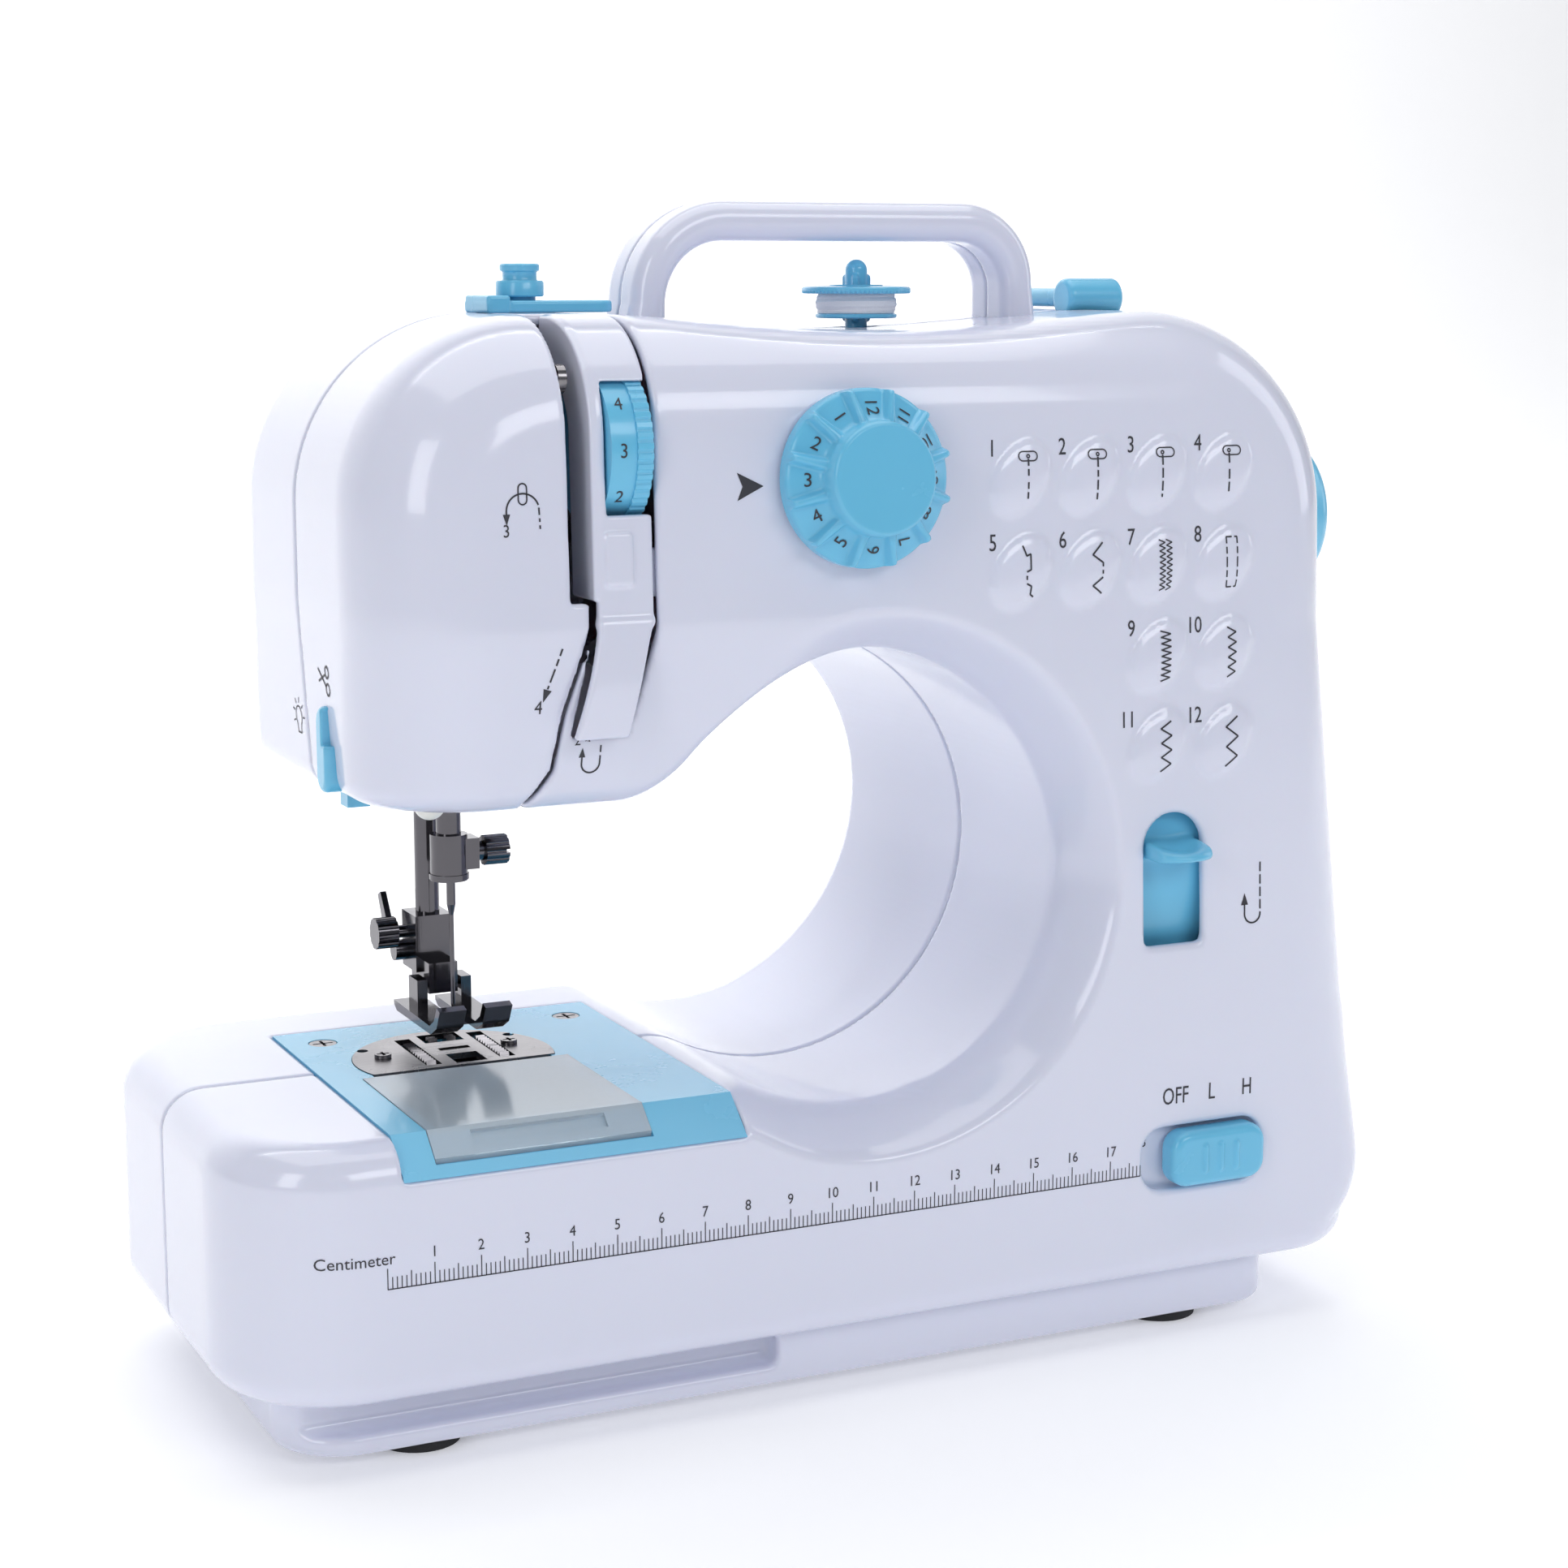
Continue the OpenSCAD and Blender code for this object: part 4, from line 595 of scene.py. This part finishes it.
def dial_height(r, a):
    """Outer surface of the stitch dial above the casing face."""
    dome = 15.3 - (r * r) / (2 * 31.6)
    collar = 13.2 - 0.9 * max(r - 11.0, 0) ** 2
    if r <= 11.9:
        return min(dome, collar)
    t = min(max((r - 12.3) / 6.0, 0), 1)
    scoop = 8.4 - 3.6 * t ** 0.8
    near = abs((math.degrees(a) + 375) % 30 - 15)
    w = math.radians(15 - near) * r
    ridge = math.exp(-((w / (0.95 + 0.25 * (1 - t))) ** 4))
    rib = 9.6 - 2.1 * t
    edge = max(r - 18.0, 0)
    wall = 3.9 * max(0, (12.3 - r) / 0.4) if r < 12.3 else 0
    return scoop + (rib - scoop) * ridge - 0.9 * edge * edge + wall * 0.3


def make_dial():
    bands = ((0.3, 10.6, 16), (11.0, 12.3, 10), (12.5, 17.8, 16), (18.0, 18.8, 6))
    rs = [r for first, last, count in bands for r in np.linspace(first, last, count)]
    n = 360
    verts, faces = [], []
    rows = [(0.3, 0.8), (18.2, 0.8), (18.8, 1.3), (18.8, 3.0)] + [(r, None) for r in reversed(rs)]
    k = len(rows)
    for i in range(n):
        a = 2 * math.pi * i / n
        for r, h in rows:
            if h is None:
                h = dial_height(r, a)
            p = DIAL_BASIS @ Vector((r * math.cos(a), r * math.sin(a), h))
            verts.append((Vector(DIAL_AT) + p + Vector(ORIGIN)) * MM)
    for i in range(n):
        j = (i + 1) % n
        for m in range(k - 1):
            faces.append((i * k + m, j * k + m, j * k + m + 1, i * k + m + 1))
    faces.append(tuple(j * k for j in reversed(range(n))))
    faces.append(tuple(j * k + k - 1 for j in range(n)))
    me = bpy.data.meshes.new("stitch_dial_cap")
    me.from_pydata([tuple(v) for v in verts], [], faces)
    me.materials.append(MATS["accent"])
    me.polygons.foreach_set("use_smooth", [True] * len(me.polygons))
    me.set_sharp_from_angle(angle=math.radians(50))
    o = bpy.data.objects.new("stitch_dial_cap", me)
    bpy.context.scene.collection.objects.link(o)
    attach(o, "stitch_dial")
    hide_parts("stitch_dial")
    # Its short spindle goes on through the casing wall to the cams
    lathe("stitch_dial_spindle", DIAL_AT, [(2.2, -68), (2.9, -67.6), (3.0, -67), (3.0, 1.2), (2.4, 1.4)],
          MATS["steel"], "stitch_dial", [], 48, basis=DIAL_BASIS)


def make_winder():
    c = (29.0, 0.0, 0.0)
    z0 = 233.3

    def coil_step(a, r, h):
        return r + 0.12 * math.sin(h * 26 + a), h

    turns = [(9.0 - 0.25 * math.cos(i / 11 * math.pi * 2), z0 + 1.1 + i * 0.4) for i in range(12)]
    lathe("wound_thread", c, [(4.2, z0 + 1.0)] + turns + [(4.2, z0 + 5.7)], MATS["thread"], "winder",
          [], 96, coil_step)

    def serrate(a, r, h):
        if r > 12.0 and h < z0 + 6.4:
            h = h - 0.45 * (0.5 + 0.5 * math.cos(a * 72))
        return r, h

    top = [(3.9, 5.5), (11.2, 5.5), (12.2, 6.0), (12.4, 6.3), (12.4, 6.7), (12.1, 7.0), (9.4, 7.2),
           (8.9, 6.9), (6.4, 6.9), (6.0, 7.5), (3.9, 7.5)]
    lathe("winder_bobbin_top", c, [(r, z0 + h) for r, h in top], MATS["accent"], "winder",
          ["winder_bobbin"], 288, serrate)
    foot = [(3.9, 0), (8.9, 0), (9.3, 0.3), (9.3, 0.8), (8.9, 1.05), (3.9, 1.1)]
    lathe("winder_bobbin_foot", c, [(r, z0 + h) for r, h in foot], MATS["accent"], "winder", [])

    g = Field((24, -5, 203), (34, 5, 248), 0.25)
    x, y, z = g.x, g.y, g.z
    post = np.sqrt((x - 29) ** 2 + y ** 2) - 2.5
    f = rmax(post, slab(z, 205, 244), 0.4)
    f = np.minimum(f, np.sqrt((x - 29) ** 2 + y ** 2 + (z - 244) ** 2) - 2.5)
    for a in (0, 120, 240):
        ux, uy = math.cos(math.radians(a)), math.sin(math.radians(a))
        along, across = (x - 29) * ux + y * uy, -(x - 29) * uy + y * ux
        fin = rmax(rmax(slab(along, 0, 3.5), np.abs(across) - 0.75, 0.5), slab(z, 232.4, 243.2), 0.9)
        f = rmin(f, fin, 0.6)
    carve("winder_post", g, f, MATS["accent"], "winder", ["winder_spindle"])
    for name, r, za, zb in (("winder_stop_disc", 8, 222, 225), ("winder_rubber_tyre", 9, 206, 210)):
        m = MATS["rubber"] if "tyre" in name else MATS["accent"]
        lathe(name, c, [(2.4, za), (r - 0.4, za), (r, za + 0.4), (r, zb - 0.4), (r - 0.4, zb), (2.4, zb)], m,
              "winder", [], 72)


def make_guide():
    g = Field((-65, -10, 233), (-29, 10, 246), 0.3)
    x, y, z = g.x, g.y, g.z
    plan = poly([(-62.5, -7.5)] + arc((-36, -1), 4.2, 270, 450) + [(-62.5, 7.5)], x, y)
    f = rmax(plan, slab(z, ARM_Z, ARM_Z + 2.6), 0.7)
    groove = rmax(plan + 1.7, ARM_Z + 1.9 - z, 0.3)
    f = cut(f, rmax(groove, -45 - x, 0.4), 0.4)
    rail = rmax(slab(x, -62.5, -57.2), slab(y, -7.5, 7.5), 0.8)
    f = rmin(f, rmax(rail, slab(z, ARM_Z, ARM_Z + 3.7), 0.6), 0.4)
    carve("winder_guide_base", g, f, MATS["accent"], "machine", [])
    z0 = ARM_Z + 2.4
    post = [(0.3, 0), (3.4, 0), (3.4, 1.0), (4.9, 1.0), (5.2, 1.3), (5.2, 4.0), (4.9, 4.4), (3.9, 4.4),
            (3.7, 4.7), (3.7, 6.1), (3.9, 6.4), (4.2, 6.5), (4.3, 6.8), (4.3, 7.7), (4.0, 8.0), (0.3, 8.1)]
    lathe("winder_guide_post", (-52.5, 0, z0), post, MATS["accent"], "machine",
          ["winder_guide"], 72)


def make_spool():
    g = Field((80, -7, 230), (101, 47, 245), 0.32)
    x, y, z = g.x, g.y, g.z
    knob = rmax(np.sqrt(y ** 2 + (z - 237.6) ** 2) - 4.6, np.abs(x - 90.5) - 7.3 + 0 * z, 1.3)
    s, c = math.sin(math.radians(24)), math.cos(math.radians(24))
    face = (83.2 - x) * s + (z - 242.2) * c
    knob = rmax(knob, face, 0.9)
    rodd = rod(disc(x, z, 90.5, 237.6, 2.2), y, 4, 42)
    tip = np.sqrt((x - 90.5) ** 2 + (y - 42) ** 2 + (z - 237.6) ** 2) - 2.2
    collar = rod(disc(x, z, 90.5, 237.6, 4.3), y, 2.8, 5.5, 0.5)
    f = rmin(knob, np.minimum(np.minimum(rodd, tip), collar), 0.5)
    carve("spool_pin_body", g, f, MATS["accent"], "spool_pin", ["spool_pin"])


make_switch()
make_reverse()
make_cutter()
make_dial()
make_winder()
make_guide()
make_spool()


# ------------------------------------------------------------ printed marks
def fine_mesh(me, longest):
    """Cuts every edge over the given length, so that flat lettering can follow a curved face."""
    bm = bmesh.new()
    bm.from_mesh(me)
    bmesh.ops.triangulate(bm, faces=bm.faces[:])
    for _ in range(3):
        long_edges = [e for e in bm.edges if e.calc_length() > longest]
        if not long_edges:
            break
        bmesh.ops.subdivide_edges(bm, edges=long_edges, cuts=1)
        bmesh.ops.triangulate(bm, faces=bm.faces[:])
    bm.to_mesh(me)
    bm.free()


class Print:
    """Thin ink laid on finished surfaces: every point is dropped onto them along a fixed direction."""

    def __init__(self, targets, place, along, lift=0.09):
        from mathutils.bvhtree import BVHTree
        verts, polys = [], []
        for o in targets:
            base = len(verts)
            mw = o.matrix_world
            verts += [mw @ v.co for v in o.data.vertices]
            polys += [tuple(base + i for i in p.vertices) for p in o.data.polygons]
        self.tree = BVHTree.FromPolygons(verts, polys)
        self.place, self.along, self.lift = place, Vector(along).normalized(), lift * MM
        self.verts, self.faces = [], []

    def point(self, u, v):
        p = self.place(u, v)
        start = (Vector(p) + Vector(ORIGIN)) * MM - self.along * 0.02
        hit, normal, _, _ = self.tree.ray_cast(start, self.along, 0.06)
        if hit is None:
            return start + self.along * 0.02
        return hit - self.along * self.lift

    def quad(self, a, b, c, d):
        k = len(self.verts)
        self.verts += [self.point(*p) for p in (a, b, c, d)]
        self.faces.append((k, k + 1, k + 2, k + 3))

    def line(self, pts, width=0.35, dash=None):
        """A stroke through pts, cut into short pieces so that it follows the surface."""
        run = 0.0
        for (x0, y0), (x1, y1) in zip(pts, pts[1:]):
            length = math.hypot(x1 - x0, y1 - y0)
            if length < 1e-6:
                continue
            n = max(int(length / 0.7), 1)
            ux, uy = (x1 - x0) / length, (y1 - y0) / length
            nx, ny = -uy * width / 2, ux * width / 2
            for i in range(n):
                a, b = length * i / n, length * (i + 1) / n
                if dash and ((run + (a + b) / 2) % sum(dash)) > dash[0]:
                    continue
                a, b = a - (0.04 if i == 0 else 0), b + 0.04
                pa, pb = (x0 + ux * a, y0 + uy * a), (x0 + ux * b, y0 + uy * b)
                self.quad((pa[0] - nx, pa[1] - ny), (pb[0] - nx, pb[1] - ny),
                          (pb[0] + nx, pb[1] + ny), (pa[0] + nx, pa[1] + ny))
            run += length

    def fill(self, pts):
        k = len(self.verts)
        self.verts += [self.point(*p) for p in pts]
        self.faces.append(tuple(range(k, k + len(pts))))

    def text(self, words, size, u, v, turn=0.0, align="CENTER", narrow=0.9):
        cu = bpy.data.curves.new("words", "FONT")
        cu.body, cu.size, cu.align_x, cu.align_y = words, size, align, "CENTER"
        cu.resolution_u = 3
        o = bpy.data.objects.new("words", cu)
        bpy.context.scene.collection.objects.link(o)
        dg = bpy.context.evaluated_depsgraph_get()
        me = bpy.data.meshes.new_from_object(o.evaluated_get(dg))
        fine_mesh(me, 0.7)
        c, s = math.cos(math.radians(turn)), math.sin(math.radians(turn))
        k = len(self.verts)
        for w in me.vertices:
            x, y = w.co.x * narrow, w.co.y
            self.verts.append(self.point(u + x * c - y * s, v + x * s + y * c))
        for p in me.polygons:
            self.faces.append(tuple(k + i for i in p.vertices))
        bpy.data.objects.remove(o)
        bpy.data.curves.remove(cu)
        bpy.data.meshes.remove(me)

    def make(self, name, body):
        o = new_object(name, np.array([tuple(v) for v in self.verts]), self.faces, INK)
        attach(o, body)
        return o


def bow(c, r, a0, a1, n=14):
    return [(c[0] + r * math.cos(math.radians(a0 + (a1 - a0) * i / n)),
             c[1] + r * math.sin(math.radians(a0 + (a1 - a0) * i / n))) for i in range(n + 1)]


def zigzag(x, z0, z1, w, step):
    n = int(round((z1 - z0) / step))
    return [(x + (w if i % 2 else -w), z0 + (z1 - z0) * i / n) for i in range(n + 1)]


def stitch_icon(p, k, x, z):
    """The little picture of stitch number k + 1."""
    x = x + 1.4
    top, low = z + 5.6, z - 5.6
    if k < 4:
        pill = bow((x - 1.3, top - 1.0), 1.0, 90, 270, 8) + bow((x + 1.3, top - 1.0), 1.0, 270, 450, 8)
        p.line(pill + pill[:1], 0.3)
        nx = x if k < 2 else x - 0.8
        p.line(bow((nx, top - 1.0), 0.35, 0, 360, 8), 0.3)
        p.line([(nx, top - 1.6), (nx, low + 0.4)], 0.42, (1.5 + 0.3 * k, 0.8))
    elif k == 4:
        pts = [(x - 1.4, top), (x - 0.6, top - 2.2), (x + 0.4, top - 1.8), (x + 0.4, z + 0.4), (x - 0.6, z),
               (x - 0.6, low + 3), (x + 0.6, low + 2.4), (x + 0.4, low + 0.6), (x + 1.4, low)]
        p.line(pts, 0.4, (1.3, 0.4))
    elif k == 5:
        p.line([(x + 1.2, top), (x - 1.4, z + 3.0), (x + 1.2, z + 1.2)], 0.4)
        p.line([(x + 1.2, z + 1.2), (x + 1.2, low + 3.6)], 0.4, (0.9, 0.6))
        p.line([(x + 1.2, low + 3.6), (x - 1.4, low + 1.8), (x + 1.2, low)], 0.4)
    elif k == 6:
        for dx in (-0.9, 0.9):
            p.line(zigzag(x + dx, low, top, 0.75, 0.62), 0.3)
    elif k == 7:
        p.line([(x - 1.4, low), (x - 1.4, top)], 0.35, (0.7, 0.35))
        p.line([(x + 1.4, low), (x + 1.4, top)], 0.35, (0.7, 0.35))
        for zz in (low, top):
            p.line([(x - 1.4, zz), (x + 1.4, zz)], 0.35, (0.7, 0.35))
    elif k == 8:
        p.line(zigzag(x, low, top, 1.3, 0.7), 0.34)
    elif k == 9:
        p.line(zigzag(x, low, top, 1.1, 1.15), 0.36)
    elif k == 10:
        p.line(zigzag(x, low, top, 1.4, 1.6), 0.38)
    else:
        p.line(zigzag(x, low, top, 1.6, 2.3), 0.4)


def arrow_head(p, x, z, turn, size=1.5):
    c, s = math.cos(math.radians(turn)), math.sin(math.radians(turn))
    tri = [(0, size), (-0.55 * size, -0.6 * size), (0.55 * size, -0.6 * size)]
    p.fill([(x + a * c - b * s, z + a * s + b * c) for a, b in tri])


def make_prints():
    o = bpy.data.objects
    p = Print([o["casing_front_shell"]], lambda u, v: (u, -(face_y(v)), v), (0, 1, 0))
    # Ruler, 18 cm
    x0, z0 = -106.5, 41.2
    p.line([(x0, z0), (x0 + 180, z0)], 0.24)
    for i in range(181):
        h = 4.4 if i % 10 == 0 else 3.4 if i % 5 == 0 else 2.5
        p.line([(x0 + i, z0), (x0 + i, z0 + h)], 0.2)
        if i and i % 10 == 0:
            p.text(str(i // 10), 3.3, x0 + i, z0 + 6.6)
    p.text("Centimeter", 3.5, x0 - 6.5, z0 + 6.3, 0, "CENTER", 1.0)
    for k, (x, z) in enumerate(STITCH):
        p.text(str(k + 1), 5.2, x - 6.8 - (1.0 if k > 8 else 0), z + 6.2, 0, "CENTER", 0.8)
        stitch_icon(p, k, x, z)
    # Marker beside the stitch dial
    p.fill([(-20.0, 200.0), (-26.0, 202.9), (-24.8, 200.0), (-26.0, 197.1)])
    # Speed marks over the switch
    for word, x in (("OFF", 80.5), ("L", 90.2), ("H", 99.8)):
        p.text(word, 5.6, x, 58.8, 0, "CENTER", 0.72)
    # Turn-back arrow beside the reverse lever
    p.line([(103.0, 111.0), (103.0, 99.5)], 0.4, (2.2, 0.7))
    p.line([(103.0, 99.5)] + bow((100.9, 99.2), 2.1, 0, -180) + [(98.8, 101.5)], 0.4)
    arrow_head(p, 98.8, 102.4, 0, 1.7)
    # Threading mark 2, under the strip
    p.line([(-55.2, 147.6), (-55.2, 144.0)], 0.35, (1.6, 0.6))
    p.line([(-55.2, 144.0)] + bow((-57.2, 143.8), 2.0, 0, -180) + [(-59.2, 145.2)], 0.35)
    arrow_head(p, -59.2, 146.0, 0, 1.3)
    p.text("2", 3.2, -60.4, 148.9)
    p.make("casing_print", "machine")

    q = Print([o["face_cover_shell"]], lambda u, v: (u, -(face_y(v)), v), (0, 1, 0))
    c = (-73.0, 196.6)
    q.line(bow(c, 3.5, 180, 90), 0.35)
    q.line(bow(c, 3.5, 90, 20), 0.35)
    q.line([(c[0] + 3.4, c[1] + 0.6), (c[0] + 3.6, c[1] - 3.6)], 0.35, (1.1, 0.7))
    q.line([(c[0] - 3.5, c[1] + 0.2), (c[0] - 3.5, c[1] - 0.6)], 0.35)
    arrow_head(q, c[0] - 3.5, c[1] - 1.4, 180, 1.4)
    eye = bow((c[0], c[1] + 4.6), 0.9, 0, 180, 8) + bow((c[0], c[1] + 2.2), 0.9, 180, 360, 8)
    q.line(eye + eye[:1], 0.3)
    q.text("3", 3.6, -76.6, 192.6)
    q.line([(-65.2, 168.6), (-67.9, 160.4)], 0.4, (1.5, 0.5))
    arrow_head(q, -68.2, 159.2, 162, 1.7)
    q.text("4", 4.0, -69.6, 156.4)
    q.make("face_cover_print", "machine")

    # Marks on the head's left side: scissors over the cutter, a lamp behind it
    def side(y0):
        return lambda u, v: (-110, y0 + u, v), (1, 0, 0)

    place, along = side(-14.5)
    r = Print([o["face_cover_shell"]], place, along)
    r.line([(2.6, 161.6), (-2.6, 158.2)], 0.5)
    r.line([(2.6, 158.9), (-2.6, 160.9)], 0.5)
    r.line(bow((-3.6, 161.4), 1.25, 0, 360, 12), 0.5)
    r.line(bow((-3.6, 157.7), 1.25, 0, 360, 12), 0.5)
    r.make("scissors_mark", "machine")
    place, along = side(6)
    r = Print([o["casing_rear_shell"]], place, along)
    r.line(bow((0, 149.0), 2.2, -50, 230, 14), 0.35)
    r.line([(-1.4, 147.3), (-1.2, 145.4), (1.2, 145.4), (1.4, 147.3)], 0.35)
    for a in range(-20, 220, 40):
        ca, sa = math.cos(math.radians(a)), math.sin(math.radians(a))
        r.line([(3.0 * ca, 149 + 3.0 * sa), (4.2 * ca, 149 + 4.2 * sa)], 0.35)
    r.make("lamp_mark", "machine")

    # Numbers on the stitch dial
    cap = bpy.data.objects["stitch_dial_cap"]
    normal = DIAL_BASIS @ Vector((0, 0, 1))

    def on_dial(u, v):
        return tuple(Vector(DIAL_AT) + DIAL_BASIS @ Vector((u, v, 9)))

    d = Print([cap], on_dial, -normal, 0.2)
    for k in range(12):
        a = 90 + 30 * (k + 1)
        rad = math.radians(a)
        d.text(str(k + 1), 4.1, 14.9 * math.cos(rad), 14.9 * math.sin(rad), a - 180, "CENTER", 0.88)
    d.make("dial_numbers", "stitch_dial")

    # Numbers on the tension dial
    ty, tz, tr = -41.5, 208.0, 15.98
    verts, faces = [], []
    for i, word in enumerate(("4", "3", "2", "1", "0", "9", "8", "7", "6", "5")):
        cu = bpy.data.curves.new("words", "FONT")
        cu.body, cu.size, cu.align_x, cu.align_y = word, 4.2, "CENTER", "CENTER"
        ob = bpy.data.objects.new("words", cu)
        bpy.context.scene.collection.objects.link(ob)
        me = bpy.data.meshes.new_from_object(ob.evaluated_get(bpy.context.evaluated_depsgraph_get()))
        k = len(verts)
        for w in me.vertices:
            a = math.radians(180 - 36 * (1 - i)) - w.co.y / tr
            p = Vector((-51.9 + w.co.x * 0.9, ty + tr * math.cos(a), tz + tr * math.sin(a)))
            verts.append((p + Vector(ORIGIN)) * MM)
        faces += [tuple(k + j for j in pl.vertices) for pl in me.polygons]
        bpy.data.objects.remove(ob)
        bpy.data.curves.remove(cu)
        bpy.data.meshes.remove(me)
    n = new_object("tension_numbers", np.array([tuple(v) for v in verts]), faces, INK)
    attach(n, "tension_dial")


make_prints()

# --------------------------------------------------- finish of the CAD nodes
SLOT_OF = {s["node"]: s["material_slot"] for s in RECORD["subparts"]}
SOFT_EDGE = {"bobbin_area_plate": 0.5, "handwheel": 0.5, "bobbin_cover": 0.35, "rubber_feet": 0.8,
             "lamp_switch": 0.5, "foot_holder": 0.35, "needle_clamp": 0.3, "presser_lifter": 0.8,
             "needle": 0.0, "presser_spring": 0.0, "inner_frame": 0.4, "motor": 0.8,
             "presser_foot": 0.25, "needle_plate": 0.15}
for name, o in NODES.items():
    me = o.data
    me.materials.clear()
    me.materials.append(MATS[SLOT_OF[name]])
    me.polygons.foreach_set("use_smooth", [True] * len(me.polygons))
    me.set_sharp_from_angle(angle=math.radians(32))
    width = SOFT_EDGE.get(name, 0.2)
    if width:
        b = o.modifiers.new("soft_edges", "BEVEL")
        b.width = width * MM
        b.segments = 3
        b.limit_method = "ANGLE"
        b.angle_limit = math.radians(40)
        b.use_clamp_overlap = True
        b.harden_normals = False

# ------------------------------------------------------------ studio, camera
scene = bpy.context.scene


def studio_material():
    m = bpy.data.materials.new("studio_floor")
    m.use_nodes = True
    b = m.node_tree.nodes["Principled BSDF"]
    b.inputs["Base Color"].default_value = (0.95, 0.95, 0.955, 1)
    b.inputs["Roughness"].default_value = 0.9
    b.inputs["Emission Color"].default_value = (1, 1, 1, 1)
    b.inputs["Emission Strength"].default_value = 0.2
    return m


def make_studio():
    me = bpy.data.meshes.new("studio_floor")
    depth, rise, r = 2.2, 3.0, 0.9
    prof = [(-2.6, 0.0), (depth - r, 0.0)] + [(depth - r + r * math.sin(t), r - r * math.cos(t))
                                              for t in np.linspace(0.1, math.pi / 2, 14)] + [(depth, rise)]
    verts = [(x, y, z) for x in (-4.0, 4.0) for y, z in prof]
    k = len(prof)
    me.from_pydata(verts, [], [(i, i + 1, k + i + 1, k + i) for i in range(k - 1)])
    me.polygons.foreach_set("use_smooth", [True] * (k - 1))
    me.materials.append(studio_material())
    o = bpy.data.objects.new("studio_floor", me)
    scene.collection.objects.link(o)
    world = bpy.data.worlds.new("studio")
    scene.world = world
    world.use_nodes = True
    world.node_tree.nodes["Background"].inputs["Color"].default_value = (0.86, 0.89, 1.0, 1)
    world.node_tree.nodes["Background"].inputs["Strength"].default_value = 0.2

    def area(name, loc, target, size, power, color=(1, 1, 1), shape=None):
        li = bpy.data.lights.new(name, "AREA")
        li.shape = "RECTANGLE"
        li.size, li.size_y = size
        li.energy, li.color = power, color
        ob = bpy.data.objects.new(name, li)
        ob.location = loc
        ob.rotation_euler = (Vector(target) - Vector(loc)).to_track_quat("-Z", "Y").to_euler()
        scene.collection.objects.link(ob)

    area("key_left", (-1.35, -0.9, 0.75), (0, 0, 0.16), (0.45, 1.0), 4.6, (1, 1, 1))
    area("key_front", (0.45, -1.7, 1.15), (0, 0, 0.14), (1.3, 0.55), 8.5, (0.97, 0.98, 1))
    area("top", (0.0, 0.1, 1.6), (0, 0, 0.1), (1.8, 1.3), 13, (1, 1, 1))
    area("rim_right", (1.5, -0.1, 0.7), (0, 0, 0.14), (0.5, 1.2), 3.0, (0.92, 0.94, 1))
    area("backdrop", (0.0, 0.8, 1.9), (0, 2.5, 0.95), (2.4, 0.6), 38, (1, 1, 1))


make_studio()
scene.view_settings.view_transform = "Standard"
cam = bpy.data.cameras.new("camera")
cam_ob = bpy.data.objects.new("camera", cam)
scene.collection.objects.link(cam_ob)
scene.camera = cam_ob
cam.sensor_width = 36
cam.lens = 67.77
cam.clip_start, cam.clip_end = 0.02, 20
cam_ob.location = (-0.2845, -0.6053, 0.2434)
cam_ob.rotation_euler = (math.radians(90 - 9.82), 0, math.radians(-25.34))
